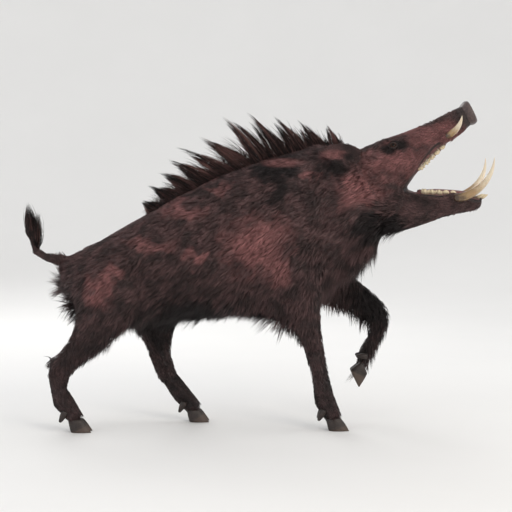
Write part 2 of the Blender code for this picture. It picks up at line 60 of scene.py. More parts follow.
HEAD_SCALE = 0.485 / 0.445  # the head's length over that of the frame it was drawn in
HEAD_PITCH = math.radians(31)
JAW_PITCH = math.radians(-8)
EYE_IN_HEAD = Vector((0.168, 0.0660, 0.0385))
EYE_RADIUS = 0.0140 * HEAD_SCALE
HINGE_FROM_OCCIPUT = Vector((0.105, 0.0, -0.016))
BODY = "root"
BAKE_MAP = "OFBake"
LENGTH_MAP = "Lengthwise"
RIPPLE_WAVES = 7
RIPPLE_REACH = 2.6  # about the square root of the number of waves
LEGS = ("foreleg_right", "foreleg_left", "hindleg_right", "hindleg_left")


class Side(Enum):
    """The two sides of the animal, by the sign of Y."""

    RIGHT = -1
    LEFT = 1

    @property
    def word(self) -> str:
        """The side's name in a piece's name."""
        return self.name.lower()


# ---------------------------------------------------------------- places
def middle(node: str) -> Vector:
    """The middle of a CAD node's box."""
    low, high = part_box(node)
    return (low + high) / 2


def foot(leg: str) -> Vector:
    """The middle between a leg's two toes."""
    return (middle(f"{leg}_toe_left") + middle(f"{leg}_toe_right")) / 2


def square_to(direction: Vector, axis: Vector) -> Vector:
    """The part of a direction that is square to an axis of length 1, at length 1."""
    return (direction - axis * direction.dot(axis)).normalized()


def pitched(origin: Vector, pitch: float) -> Matrix:
    """A head-sized frame at origin whose X axis is raised by pitch above level."""
    turn = Matrix.Rotation(-pitch, 4, "Y")
    return Matrix.Translation(origin) @ turn @ Matrix.Scale(HEAD_SCALE, 4)


OCCIPUT = middle("eye_left") - pitched(Vector(), HEAD_PITCH) @ EYE_IN_HEAD
HEAD = pitched(OCCIPUT, HEAD_PITCH)
LOWER_JAW = pitched(OCCIPUT + HINGE_FROM_OCCIPUT, JAW_PITCH)


def ear_frame(side: Side) -> Matrix:
    """An ear's frame: X from its base to its tip, Y across the leaf, Z out of its hollow."""
    length = Vector((-0.66, side.value * 0.50, 0.56)).normalized()
    hollow = square_to(Vector((0.55, side.value * 0.80, -0.10)), length)
    axes = Matrix((length, hollow.cross(length), hollow)).transposed().to_4x4()
    return HEAD @ Matrix.Translation((0.060, side.value * 0.072, 0.060)) @ axes


# ---------------------------------------------------------------- numbers
def unit(rows: np.ndarray) -> np.ndarray:
    """The rows, each scaled to length 1."""
    return rows / np.maximum(np.linalg.norm(rows, axis=-1, keepdims=True), 1e-9)


def eased(values: np.ndarray | float, low: float, high: float) -> np.ndarray:
    """0 up to low, 1 from high on, and a smooth slope between them."""
    share = np.clip((values - low) / (high - low), 0, 1)
    return share * share * (3 - 2 * share)


def bell(values: np.ndarray, centre: np.ndarray | float, width: float, power: int = 2) -> np.ndarray:
    """1 at the centre and less away from it over this width; a higher power is flatter on top."""
    return np.exp(-(((values - centre) / width) ** power))


def local(points: np.ndarray, place: Matrix) -> np.ndarray:
    """World points in a frame's own coordinates."""
    back = np.array(place.inverted())
    return points @ back[:3, :3].T + back[:3, 3]


def turned(directions: np.ndarray, place: Matrix) -> np.ndarray:
    """World directions in a frame's own axes."""
    return unit(directions @ np.array(place.inverted())[:3, :3].T)


def ripple(points: np.ndarray, wavelength: float, seed: int) -> np.ndarray:
    """A soft random field over space, about -1 to 1, with swells this far apart."""
    dice = np.random.default_rng(seed)
    ways = unit(dice.normal(size=(RIPPLE_WAVES, 3))) * dice.uniform(0.7, 1.5, (RIPPLE_WAVES, 1))
    phase = points @ ways.T * (2 * math.pi / wavelength) + dice.uniform(0, 6.28, RIPPLE_WAVES)
    return np.sin(phase).sum(axis=1) / RIPPLE_REACH


def spread(values: np.ndarray, edges: np.ndarray, rounds: int) -> np.ndarray:
    """Values at the vertices, averaged with their neighbours' round after round.

    Args:
        values: one row for each vertex.
        edges: pairs of vertex numbers.
        rounds: how many times each value meets its neighbours'.

    Returns:
        The softened values.
    """
    count = len(values)
    a, b = edges[:, 0], edges[:, 1]
    shares = 1 + np.bincount(a, minlength=count) + np.bincount(b, minlength=count)
    columns = [column.copy() for column in values.T]
    for _ in range(rounds):
        for i, column in enumerate(columns):
            total = np.bincount(a, column[b], count) + np.bincount(b, column[a], count)
            columns[i] = (column + total) / shares
    return np.stack(columns, axis=1)


def curve_through(start: np.ndarray, knee: np.ndarray, end: np.ndarray, count: int) -> np.ndarray:
    """Bent lines of count points from start to end that pass near the knee."""
    t = np.linspace(0, 1, count)[None, :, None]
    start, knee, end = start[:, None], knee[:, None], end[:, None]
    pull = 2 * knee - (start + end) / 2
    return start * (1 - t) ** 2 + pull * 2 * t * (1 - t) + end * t**2


# ---------------------------------------------------------------- materials
Socket = bpy.types.NodeSocket
Number = Socket | float
Paint = Socket | str


def linear(hex_colour: str) -> tuple[float, float, float, float]:
    """An sRGB hex colour as linear red, green, blue and alpha."""
    channels = (int(hex_colour[i : i + 2], 16) / 255 for i in (1, 3, 5))
    return (*(c / 12.92 if c < 0.04045 else ((c + 0.055) / 1.055) ** 2.4 for c in channels), 1.0)


def per_metre(millimetres: float) -> float:
    """The texture scale whose pattern repeats at this size."""
    return 1000 / millimetres


@dataclass
class Nodes:
    """One shader tree, with short names for the nodes that the finishes are made from."""

    tree: bpy.types.NodeTree
    place: Socket = field(init=False)

    def __post_init__(self) -> None:
        """Takes places from the piece's own metres."""
        self.place = self.add("TexCoord").outputs["Object"]

    def add(self, kind: str, inputs: dict | None = None, **settings: object) -> bpy.types.Node:
        """Adds one shader node.

        Args:
            kind: the node's type, without its ShaderNode prefix.
            inputs: values or sockets for its inputs, by name or number.
            settings: values for its own properties.

        Returns:
            The new node.
        """
        node = self.tree.nodes.new("ShaderNode" + kind)
        for name, value in settings.items():
            setattr(node, name, value)
        for name, value in (inputs or {}).items():
            if isinstance(value, Socket):
                self.tree.links.new(value, node.inputs[name])
            else:
                node.inputs[name].default_value = value
        return node

    def blend(self, factor: Number, first: Paint, second: Paint, kind: str = "MIX") -> Socket:
        """The colour between first and second, as hex values or sockets, at this factor."""
        first, second = (linear(c) if isinstance(c, str) else c for c in (first, second))
        inputs = {0: factor, 6: first, 7: second}
        return self.add("Mix", inputs, data_type="RGBA", blend_type=kind).outputs[2]

    def ramp(
        self, value: Number, low: float, high: float, to_low: float = 0.0, to_high: float = 1.0
    ) -> Socket:
        """A value brought smoothly from low..high to to_low..to_high."""
        inputs = {"Value": value, 1: low, 2: high, 3: to_low, 4: to_high}
        return self.add("MapRange", inputs, interpolation_type="SMOOTHSTEP").outputs[0]

    def maths(self, operation: str, *values: Number) -> Socket:
        """The result of one Math node."""
        return self.add("Math", dict(enumerate(values)), operation=operation).outputs[0]

    def vectors(self, operation: str, *values: Socket | tuple) -> bpy.types.Node:
        """One VectorMath node."""
        return self.add("VectorMath", dict(enumerate(values)), operation=operation)

    def attribute(self, name: str) -> Socket:
        """A number stored at the points of a piece."""
        return self.add("Attribute", attribute_name=name).outputs["Fac"]

    def grey(self, value: Socket) -> Socket:
        """A number as a grey colour."""
        return self.add("CombineColor", {0: value, 1: value, 2: value}).outputs[0]

    def noise(
        self, size_mm: float, detail: float = 3, roughness: float = 0.55, at: Socket | None = None
    ) -> Socket:
        """Noise from 0 to 1 with swells of this size, over the body or another vector."""
        inputs = {
            "Vector": self.place if at is None else at,
            "Scale": per_metre(size_mm),
            "Detail": detail,
            "Roughness": roughness,
        }
        return self.add("TexNoise", inputs).outputs[0]

    def cells(self, size_mm: float, **settings: object) -> Socket:
        """The distance in a pattern of cells of this size."""
        inputs = {"Vector": self.place, "Scale": per_metre(size_mm)}
        return self.add("TexVoronoi", inputs, **settings).outputs[0]

    def mottled(
        self, first: Paint, second: Paint, size_mm: float, low: float, high: float, detail: float = 3
    ) -> Socket:
        """Two colours in blotches of this size; low and high set how soft their edges are."""
        return self.blend(self.ramp(self.noise(size_mm, detail), low, high), first, second)


@dataclass(frozen=True)
class Patch:
    """A soft-edged patch of another colour, for other hair and for painted highlights and shade: its
    middle, and half its size along X, Z and Y.
    """

    x: float
    z: float
    long: float
    tall: float
    strength: float
    y: float = 0.0
    wide: float = 0.6  # right through the body, so it shows on both sides


def pair(patch: Patch) -> tuple[Patch, Patch]:
    """The same patch on the right and on the left."""
    return replace(patch, y=-patch.y), patch


@dataclass(frozen=True)
class Markings:
    """The colours of the animal over its whole body, read by skin and coat alike; some of its patches
    are painted highlights and painted shade.
    """

    name: str = "boar_markings"
    brown: str = "#5b4443"
    deep: str = "#3e302f"
    russet: str = "#926260"
    black: str = "#191313"
    swell_mm: float = 70
    wander: float = 0.14
    stray: float = 0.44
    light: tuple[Patch, ...] = (
        # the patches on the shoulder, haunch and back are painted highlights on the muscles, laid in as
        # russet hair; those on the head and neck are the coat's own paler hair
        Patch(-0.015, 0.640, 0.125, 0.112, 1.0),
        Patch(0.055, 0.575, 0.060, 0.070, 0.8),
        Patch(-0.535, 0.500, 0.050, 0.068, 0.9),
        Patch(-0.490, 0.545, 0.050, 0.040, 0.8),
        Patch(-0.212, 0.598, 0.040, 0.034, 0.9),
        Patch(-0.375, 0.640, 0.110, 0.030, 0.6),
        Patch(-0.255, 0.755, 0.080, 0.036, 0.7),
        Patch(0.330, 0.830, 0.105, 0.075, 0.9),
        Patch(0.460, 0.920, 0.130, 0.060, 0.9),
        Patch(0.600, 1.010, 0.120, 0.050, 0.8),
        Patch(0.175, 0.880, 0.050, 0.022, 0.6),
        Patch(0.372, 0.952, 0.035, 0.012, 0.6),
        Patch(-0.140, 0.830, 0.055, 0.020, 0.6),
    )
    dark: tuple[Patch, ...] = (
        # painted shadows under the ears (first and fourth) and under the jaw (fifth), painted shade on
        # the raised foreleg (sixth) and under the belly (seventh); the second and third are a black mark
        # on the neck behind the ears, the last a dark patch at the end of the snout
        Patch(0.245, 0.905, 0.075, 0.052, 0.9),
        Patch(0.045, 0.905, 0.105, 0.075, 0.95),
        Patch(0.072, 0.820, 0.038, 0.065, 0.9),
        Patch(0.275, 0.860, 0.034, 0.050, 0.75),
        Patch(0.400, 0.695, 0.140, 0.060, 0.95),
        Patch(0.420, 0.440, 0.140, 0.150, 0.98),
        Patch(-0.225, 0.362, 0.220, 0.115, 0.97),
        Patch(0.700, 1.075, 0.050, 0.030, 0.5),
    )
    eyes: tuple[Patch, ...] = (
        Patch(0.438, 0.962, 0.034, 0.021, 0.95),
        Patch(0.478, 0.978, 0.036, 0.021, 0.95),
    )
    # painted highlights: a light bar along the top of each laid-back ear, and one across the black neck
    # mark
    bars: tuple[Patch, ...] = (
        *pair(Patch(0.252, 0.944, 0.060, 0.019, 0.8, 0.118, 0.050)),
        Patch(0.078, 0.918, 0.078, 0.018, 0.65),
    )
    # painted shade in the opening of each ear's cup
    hollows: tuple[Patch, ...] = pair(Patch(0.302, 0.939, 0.026, 0.013, 0.85, 0.105, 0.035))

    def group(self) -> bpy.types.NodeTree:
        """The node group that gives the coat's colour at a place on the body, built on first use."""
        if self.name in bpy.data.node_groups:
            return bpy.data.node_groups[self.name]
        tree = bpy.data.node_groups.new(self.name, "ShaderNodeTree")
        tree.interface.new_socket("Color", in_out="OUTPUT", socket_type="NodeSocketColor")
        nodes = Nodes(tree)
        swells = {"Vector": nodes.place, "Scale": per_metre(self.swell_mm)}
        drift = nodes.vectors("SUBTRACT", nodes.add("TexNoise", swells).outputs[1], (0.5,) * 3)
        ragged = nodes.vectors("MULTIPLY_ADD", drift.outputs[0], (self.wander,) * 3, nodes.place)
        ragged = ragged.outputs[0]
        result = nodes.mottled(self.deep, self.brown, 55, 0.35, 0.65)
        # russet: painted highlights on the body, paler hair on the head
        result = nodes.blend(self._cover(nodes, ragged, self.light), result, self.russet)
        # black over it: mostly painted shade, with the neck mark and the legs' darker hair
        result = nodes.blend(self._shade(nodes, ragged), result, self.black)
        # black round the eyes, painted highlights on the ears and the neck mark, and painted shade in
        # the ears' cups
        for patches, colour in (
            (self.eyes, self.black),
            (self.bars, self.russet),
            (self.hollows, self.black),
        ):
            result = nodes.blend(self._cover(nodes, nodes.place, patches), result, colour)
        tree.links.new(result, tree.nodes.new("NodeGroupOutput").inputs[0])
        return tree

    def _shade(self, nodes: Nodes, spot: Socket) -> Socket:
        """How black the coat is: in the dark patches, low on the body and inside the legs. Most dark
        patches and the blackening inside the legs are painted shade; the fade low on the body is partly
        the legs' own darker hair and partly painted shade under the body.
        """
        _, sideways, height = nodes.add("SeparateXYZ", {0: spot}).outputs
        # darker low down: the legs' own darker hair, with painted shade under the body
        under = nodes.ramp(height, 0.47, 0.20, 0.0, 0.45)
        # painted shade on the inner sides of the legs and under the middle of the belly
        inner = nodes.ramp(nodes.maths("ABSOLUTE", sideways), 0.105, 0.070, 0.0, 0.85)
        inner = nodes.maths("MULTIPLY", inner, nodes.ramp(height, 0.48, 0.38))
        legs = nodes.maths("MAXIMUM", under, inner)
        return nodes.maths("MAXIMUM", legs, self._cover(nodes, spot, self.dark))

    def _cover(self, nodes: Nodes, spot: Socket, patches: tuple[Patch, ...]) -> Socket:
        """How strongly any of the patches covers a spot, from 0 to 1: each lock is in or out.

        Args:
            nodes: the tree.
            spot: the place on the body.
            patches: the patches.

        Returns:
            The cover.
        """
        cover = 0.0
        stray = nodes.maths("MULTIPLY_ADD", nodes.attribute("tone"), self.stray, -self.stray / 2)
        for patch in patches:
            away = nodes.vectors("SUBTRACT", spot, (patch.x, patch.y, patch.z))
            share = nodes.vectors("DIVIDE", away.outputs[0], (patch.long, patch.wide, patch.tall))
            reach = nodes.vectors("LENGTH", share.outputs[0]).outputs[1]
            edge = nodes.ramp(nodes.maths("ADD", reach, stray), 0.48, 1.18, patch.strength, 0.0)
            cover = nodes.maths("MAXIMUM", cover, edge)
        return cover


MARKINGS = Markings()


def markings_in(nodes: Nodes) -> Socket:
    """The markings' colour inside a material."""
    return nodes.add("Group", node_tree=MARKINGS.group()).outputs[0]


@dataclass(frozen=True)
class Finish:
    """A material named for what the real surface is made of."""

    name: str
    roughness: float = 0.5
    specular: float = 0.5
    ior: float = 1.5
    coat: float = 0.0
    coat_roughness: float = 0.12
    subsurface: float = 0.0
    subsurface_radius: tuple[float, float, float] = (1.0, 0.4, 0.25)
    subsurface_scale: float = 0.004

    def colour(self, nodes: Nodes) -> Socket:
        """The base colour; each finish gives its own."""
        raise NotImplementedError

    def relief(self, nodes: Nodes) -> tuple[Socket, float] | None:
        """The bump's height and its depth in metres, if the surface has any."""
        return None

    def gloss(self, nodes: Nodes) -> Socket | None:
        """A roughness pattern, if it varies."""
        return None

    def material(self) -> bpy.types.Material:
        """Builds the material, or returns the one already built."""
        if self.name in bpy.data.materials:
            return bpy.data.materials[self.name]
        made = bpy.data.materials.new(self.name)
        made.use_nodes = True
        nodes = Nodes(made.node_tree)
        shader = next(n for n in nodes.tree.nodes if n.type == "BSDF_PRINCIPLED")
        values = {
            "Roughness": self.roughness,
            "Specular IOR Level": self.specular,
            "IOR": self.ior,
            "Coat Weight": self.coat,
            "Coat Roughness": self.coat_roughness,
        }
        if self.subsurface:
            values["Subsurface Weight"] = self.subsurface
            values["Subsurface Radius"] = self.subsurface_radius
            values["Subsurface Scale"] = self.subsurface_scale
        for name, value in values.items():
            shader.inputs[name].default_value = value
        patterns = {"Base Color": self.colour(nodes), "Roughness": self.gloss(nodes)}
        relief = self.relief(nodes)
        if relief is not None:
            inputs = {"Strength": 1.0, "Distance": relief[1], "Height": relief[0]}
            patterns["Normal"] = nodes.add("Bump", inputs).outputs[0]
        for name, socket in patterns.items():
            if socket is not None:
                nodes.tree.links.new(socket, shader.inputs[name])
        return made


@dataclass(frozen=True)
class Hide(Finish):
    """Dark, creased skin. Its pores and short stubble scatter the light; lips and gums are moist."""

    name: str = "boar_hide"
    roughness: float = 0.55
    specular: float = 0.4
    gum: str = "#6b4543"
    palate: str = "#583634"
    throat: str = "#2a1615"
    lip: str = "#171212"
    bare: str = "#3a2c2a"

    def colour(self, nodes: Nodes) -> Socket:
        """Stubbled hide, bare dark skin at eyes and snout, and the mouth's wet flesh, with painted shade
        towards the throat.
        """
        stubble = nodes.grey(nodes.ramp(nodes.noise(9), 0.3, 0.7, 0.55, 0.85))
        fur = nodes.blend(1.0, markings_in(nodes), stubble, "MULTIPLY")
        naked = nodes.mottled(self.bare, self.lip, 4, 0.35, 0.65)
        fur = nodes.blend(nodes.attribute("bare"), fur, naked)
        wet = nodes.mottled(self.gum, self.palate, 10, 0.35, 0.65)
        # painted shade: the wet flesh darkens deep in the mouth, towards the throat
        wet = nodes.blend(nodes.attribute("deep"), wet, self.throat)
        wet = nodes.blend(nodes.ramp(nodes.noise(16, 4), 0.56, 0.68, 0.0, 0.75), wet, self.lip)
        mouth = nodes.attribute("mouth")
        inside = nodes.blend(nodes.ramp(mouth, 0.62, 0.90), self.lip, wet)
        return nodes.blend(nodes.ramp(mouth, 0.10, 0.35), fur, inside)

    def gloss(self, nodes: Nodes) -> Socket:
        """Moister in the mouth."""
        return nodes.ramp(nodes.attribute("mouth"), 0.3, 0.8, 0.58, 0.44)

    def relief(self, nodes: Nodes) -> tuple[Socket, float]:
        """Pores and creases, which fade in the mouth."""
        creases = nodes.ramp(nodes.cells(4.5, feature="DISTANCE_TO_EDGE"), 0.0, 0.25)
        dry = nodes.ramp(nodes.attribute("mouth"), 0.3, 0.8, 0.6, 0.08)
        return nodes.maths("MULTIPLY_ADD", creases, dry, nodes.noise(2.2, 4, 0.6)), 0.0009


@dataclass(frozen=True)
class Bristle(Finish):
    """Coarse boar bristle: dark, stiff and slightly waxy, paler at its split tips."""

    name: str = "boar_bristle"
    roughness: float = 0.50
    specular: float = 0.35
    tip_gain: float = 0.75

    def base(self, nodes: Nodes) -> Socket:
        """The colour half-way along a hair."""
        return markings_in(nodes)

    def colour(self, nodes: Nodes) -> Socket:
        """The base colour, darker at the root and lighter at the tip, by each lock's tone."""
        along, tone = nodes.attribute("along"), nodes.attribute("tone")
        shade = nodes.ramp(tone, 0.0, 1.0, 0.62, 1.45)
        level = nodes.maths("MULTIPLY", shade, nodes.ramp(along, 0.0, 0.6, 0.45, 1.0))
        ends = nodes.maths("MULTIPLY", nodes.ramp(along, 0.55, 1.0, 0.0, self.tip_gain), tone)
        level = nodes.maths("MULTIPLY_ADD", level, ends, level)
        return nodes.blend(1.0, self.base(nodes), nodes.grey(level), "MULTIPLY")


@dataclass(frozen=True)
class ManeBristle(Bristle):
    """The long bristles of the crest and tail: brown-black, with black ends."""

    name: str = "boar_mane_bristle"
    roughness: float = 0.46
    specular: float = 0.28
    tip_gain: float = 0.0
    tip: str = "#0d0a0a"
    root: str = "#1f1717"
    brown: str = "#7d5a55"

    def base(self, nodes: Nodes) -> Socket:
        """From black-brown to brown, by each bristle's tone."""
        return nodes.blend(nodes.ramp(nodes.attribute("tone"), 0.2, 1.0), self.root, self.brown)

    def colour(self, nodes: Nodes) -> Socket:
        """A bristle's colour with its ends blackened."""
        ends = nodes.ramp(nodes.attribute("along"), 0.55, 1.0, 0.0, 0.85)
        return nodes.blend(ends, super().colour(nodes), self.tip)


@dataclass(frozen=True)
class Ivory(Finish):
    """Tusk ivory: polished cream at the tip, stained brown towards the gum, with fine long lines."""

    name: str = "boar_tusk_ivory"
    roughness: float = 0.28
    ior: float = 1.54
    coat: float = 0.25
    subsurface: float = 0.12
    cream: str = "#dccdb4"
    tan: str = "#9a7d56"
    stain: str = "#42301f"
    stretch: tuple[float, float, float] = (46.0, 2.2, 1.0)

    def lines(self, nodes: Nodes) -> Socket:
        """Fine lines that run from root to tip."""
        lengthwise = nodes.add("UVMap", uv_map=LENGTH_MAP).outputs[0]
        drawn = nodes.add("Mapping", {"Vector": lengthwise, "Scale": self.stretch}).outputs[0]
        return nodes.add("TexNoise", {"Vector": drawn, "Scale": 1.0}).outputs[0]

    def colour(self, nodes: Nodes) -> Socket:
        """Cream, tan and stain with ragged borders, and fine stained cracks."""
        ragged = nodes.maths("MULTIPLY_ADD", nodes.noise(11), 0.30, nodes.attribute("along"))
        worn = nodes.blend(nodes.ramp(ragged, 0.42, 0.86), self.tan, self.cream)
        root = nodes.blend(nodes.ramp(ragged, 0.18, 0.42), self.stain, worn)
        return nodes.blend(nodes.ramp(self.lines(nodes), 0.56, 0.72, 0.0, 0.22), root, self.stain)

    def relief(self, nodes: Nodes) -> tuple[Socket, float]:
        """The long lines."""
        return self.lines(nodes), 0.0004


@dataclass(frozen=True)
class Enamel(Finish):
    """Cheek and front teeth: cream enamel, with brown tartar near the gum."""

    name: str = "boar_tooth_enamel"
    roughness: float = 0.25
    ior: float = 1.62
    coat: float = 0.3
    cream: str = "#cdbb98"
    tartar: str = "#543d27"

    def colour(self, nodes: Nodes) -> Socket:
        """Cream crowns, with tartar at the neck and in the grooves."""
        crown = nodes.maths("MULTIPLY_ADD", nodes.noise(5), 0.5, nodes.attribute("along"))
        clean = nodes.blend(nodes.ramp(crown, 0.62, 1.02), self.tartar, self.cream)
        return nodes.blend(nodes.attribute("groove"), clean, self.tartar)

    def relief(self, nodes: Nodes) -> tuple[Socket, float]:
        """A faint unevenness."""
        return nodes.noise(1.6), 0.0002


@dataclass(frozen=True)
class Horn(Finish):
    """Hoof horn: black-brown keratin in growth rings, chalky with wear at the rim."""

    name: str = "boar_hoof_horn"
    roughness: float = 0.46
    specular: float = 0.38
    ior: float = 1.54
    dark: str = "#151110"
    brown: str = "#3c2f2a"
    worn: str = "#5a4a40"

    def streaks(self, nodes: Nodes) -> Socket:
        """Fine fibres that run down the wall, about 2 mm apart."""
        drawn = nodes.add("Mapping", {"Vector": nodes.place, "Scale": (1.0, 1.0, 0.10)})
        return nodes.noise(2.4, 2, at=drawn.outputs[0])

    def rings(self, nodes: Nodes) -> Socket:
        """Uneven growth rings, about 6 mm apart, measured down from the coronet."""
        down = nodes.maths("MULTIPLY_ADD", nodes.noise(14), 0.004, nodes.attribute("down"))
        return nodes.noise(6, 2, at=nodes.add("CombineXYZ", {2: down}).outputs[0])

    def colour(self, nodes: Nodes) -> Socket:
        """Rings and fibres of brown in black, worn pale towards the rim."""
        fibres = nodes.ramp(self.streaks(nodes), 0.35, 0.75, 0.0, 0.35)
        bands = nodes.ramp(self.rings(nodes), 0.35, 0.65, 0.0, 0.65)
        horn = nodes.blend(nodes.maths("ADD", bands, fibres), self.dark, self.brown)
        scuffed = nodes.maths("MULTIPLY_ADD", nodes.noise(6), 0.02, nodes.attribute("down"))
        return nodes.blend(nodes.ramp(scuffed, 0.046, 0.066, 0.0, 0.6), horn, self.worn)

    def relief(self, nodes: Nodes) -> tuple[Socket, float]:
        """The rings, with the fibres between them."""
        height = nodes.maths("MULTIPLY_ADD", self.rings(nodes), 2.0, self.streaks(nodes))
        return height, 0.0005


@dataclass(frozen=True)
class Gristle(Finish):
    """The snout disc: bare, moist leather over gristle, covered in fine pimples."""

    name: str = "boar_snout_leather"
    roughness: float = 0.38
    coat: float = 0.08
    pale: str = "#5d4946"
    dark: str = "#2b2121"
    # painted shade inside the nostrils
    hollow: str = "#0d0909"

    def colour(self, nodes: Nodes) -> Socket:
        """Mottled leather, painted black inside the nostrils as shade."""
        leather = nodes.mottled(self.dark, self.pale, 5, 0.2, 0.8, 5)
        return nodes.blend(nodes.attribute("hollow"), leather, self.hollow)

    def gloss(self, nodes: Nodes) -> Socket:
        """Dull inside the nostrils."""
        return nodes.ramp(nodes.attribute("hollow"), 0.0, 0.6, 0.38, 1.0)

    def relief(self, nodes: Nodes) -> tuple[Socket, float]:
        """Pimples over a gentle unevenness."""
        return nodes.maths("MULTIPLY_ADD", nodes.cells(2.6), -0.8, nodes.noise(6)), 0.0008


@dataclass(frozen=True)
class TongueSkin(Finish):
    """Tongue: soft, wet and pink-grey, with a velvet of small points."""

    name: str = "boar_tongue_skin"
    roughness: float = 0.44
    coat: float = 0.12
    subsurface: float = 0.15
    pink: str = "#82504d"
    grey_pink: str = "#5d3a39"

    def colour(self, nodes: Nodes) -> Socket:
        """Mottled pink."""
        return nodes.mottled(self.grey_pink, self.pink, 7, 0.3, 0.7)

    def relief(self, nodes: Nodes) -> tuple[Socket, float]:
        """The velvet."""
        return nodes.cells(1.8), 0.0005


@dataclass(frozen=True)
class EyeGlass(Finish):
    """The wet eye: black pupil, dark brown iris with fine rays, and a darker white round it."""

    name: str = "boar_eye"
    roughness: float = 0.07
    specular: float = 0.24
    ior: float = 1.38
    pupil: str = "#030202"
    iris: str = "#321a0d"
    rim: str = "#160c08"

    def colour(self, nodes: Nodes) -> Socket:
        """Pupil, iris and rim, by the turn away from the eye's axis."""
        turn = nodes.attribute("turn")
        iris = nodes.mottled(self.iris, self.rim, 1.2, 0.3, 0.7)
        inner = nodes.blend(nodes.ramp(turn, 0.17, 0.21), self.pupil, iris)
        return nodes.blend(nodes.ramp(turn, 0.40, 0.48), inner, self.rim)


@dataclass(frozen=True)
class StudioPaper(Finish):
    """Pale seamless paper under the model."""

    name: str = "studio_paper"
    roughness: float = 0.9
    specular: float = 0.1
    white: str = "#eeedeb"
    shade: str = "#e9e8e6"

    def colour(self, nodes: Nodes) -> Socket:
        """Nearly white, with a faint wide unevenness."""
        return nodes.blend(nodes.noise(900), self.white, self.shade)


# ---------------------------------------------------------------- meshes
def dress(obj: bpy.types.Object, finish: Finish) -> None:
    """Gives an object one finish."""
    obj.data.materials.clear()
    obj.data.materials.append(finish.material())


def shown(name: str, mesh: bpy.types.Mesh, finish: Finish | None = None) -> bpy.types.Object:
    """Puts a mesh in the scene as a piece at the origin.

    Args:
        name: the piece's name.
        mesh: its mesh, in place.
        finish: what it is made of.

    Returns:
        The new object.
    """
    mesh.name = name
    obj = bpy.data.objects.new(name, mesh)
    bpy.context.scene.collection.objects.link(obj)
    if finish is not None:
        dress(obj, finish)
    return obj


def put_in_order(form: bmesh.types.BMesh) -> None:
    """Numbers a form's points by their places, and its edges and faces by their points.

    The mesh operators leave an order that changes from run to run.
    """
    for parts, key in (
        (form.verts, lambda vertex: tuple(vertex.co)),
        (form.edges, lambda edge: sorted(vertex.index for vertex in edge.verts)),
        (form.faces, lambda face: sorted(vertex.index for vertex in face.verts)),
    ):
        rank = {part: number for number, part in enumerate(sorted(parts, key=key))}
        parts.sort(key=rank.get)
        parts.index_update()


def from_bmesh(
    name: str, form: bmesh.types.BMesh, finish: Finish | None = None, place: Matrix | None = None
) -> bpy.types.Object:
    """A smooth-shaded piece made from a bmesh, which is freed.

    Args:
        name: the piece's name.
        form: its shape.
        finish: what it is made of.
        place: where the form goes, if it isn't in place yet. Its faces are then turned outwards
            and its parts put in order.

    Returns:
        The new object.
    """
    if place is not None:
        bmesh.ops.transform(form, matrix=place, verts=form.verts)
        bmesh.ops.recalc_face_normals(form, faces=form.faces)
        put_in_order(form)
    for face in form.faces:
        face.smooth = True
    mesh = bpy.data.meshes.new(name)
    form.to_mesh(mesh)
    form.free()
    return shown(name, mesh, finish)


def settle(obj: bpy.types.Object) -> None:
    """Makes the object's modifiers part of its mesh."""
    graph = bpy.context.evaluated_depsgraph_get()
    mesh = bpy.data.meshes.new_from_object(obj.evaluated_get(graph))
    obj.modifiers.clear()
    obj.data = mesh


def modify(obj: bpy.types.Object, kind: str, **settings: object) -> None:
    """Adds a modifier with these settings."""
    modifier = obj.modifiers.new(kind.lower(), kind)
    for name, value in settings.items():
        setattr(modifier, name, value)


def weigh(obj: bpy.types.Object, name: str, weights: np.ndarray, levels: int = 20) -> str:
    """Stores weights as a vertex group, in so many levels, and returns its name."""
    group = obj.vertex_groups.new(name=name)
    steps = np.round(weights * levels).astype(int)
    for step in np.unique(steps):
        group.add(np.flatnonzero(steps == step).tolist(), step / levels, "REPLACE")
    return name


def store(mesh: bpy.types.Mesh, name: str, values: np.ndarray) -> None:
    """Stores one number for each point, for a material to read."""
    layer = mesh.attributes.new(name, "FLOAT", "POINT")
    layer.data.foreach_set("value", np.ascontiguousarray(values, np.float32))


def coordinates(mesh: bpy.types.Mesh) -> tuple[np.ndarray, np.ndarray]:
    """The mesh's points and their normals."""
    points = np.empty((len(mesh.vertices), 3), np.float32)
    normals = np.empty_like(points)
    mesh.vertices.foreach_get("co", points.ravel())
    mesh.vertex_normals.foreach_get("vector", normals.ravel())
    return points.astype(float), normals.astype(float)


def move_points(mesh: bpy.types.Mesh, points: np.ndarray) -> None:
    """Gives the mesh's points new places."""
    mesh.vertices.foreach_set("co", np.ascontiguousarray(points, np.float32).ravel())
    mesh.update()


def turns(count: int) -> list[float]:
    """The angles of so many even steps round a circle."""
    return [2 * math.pi * k / count for k in range(count)]


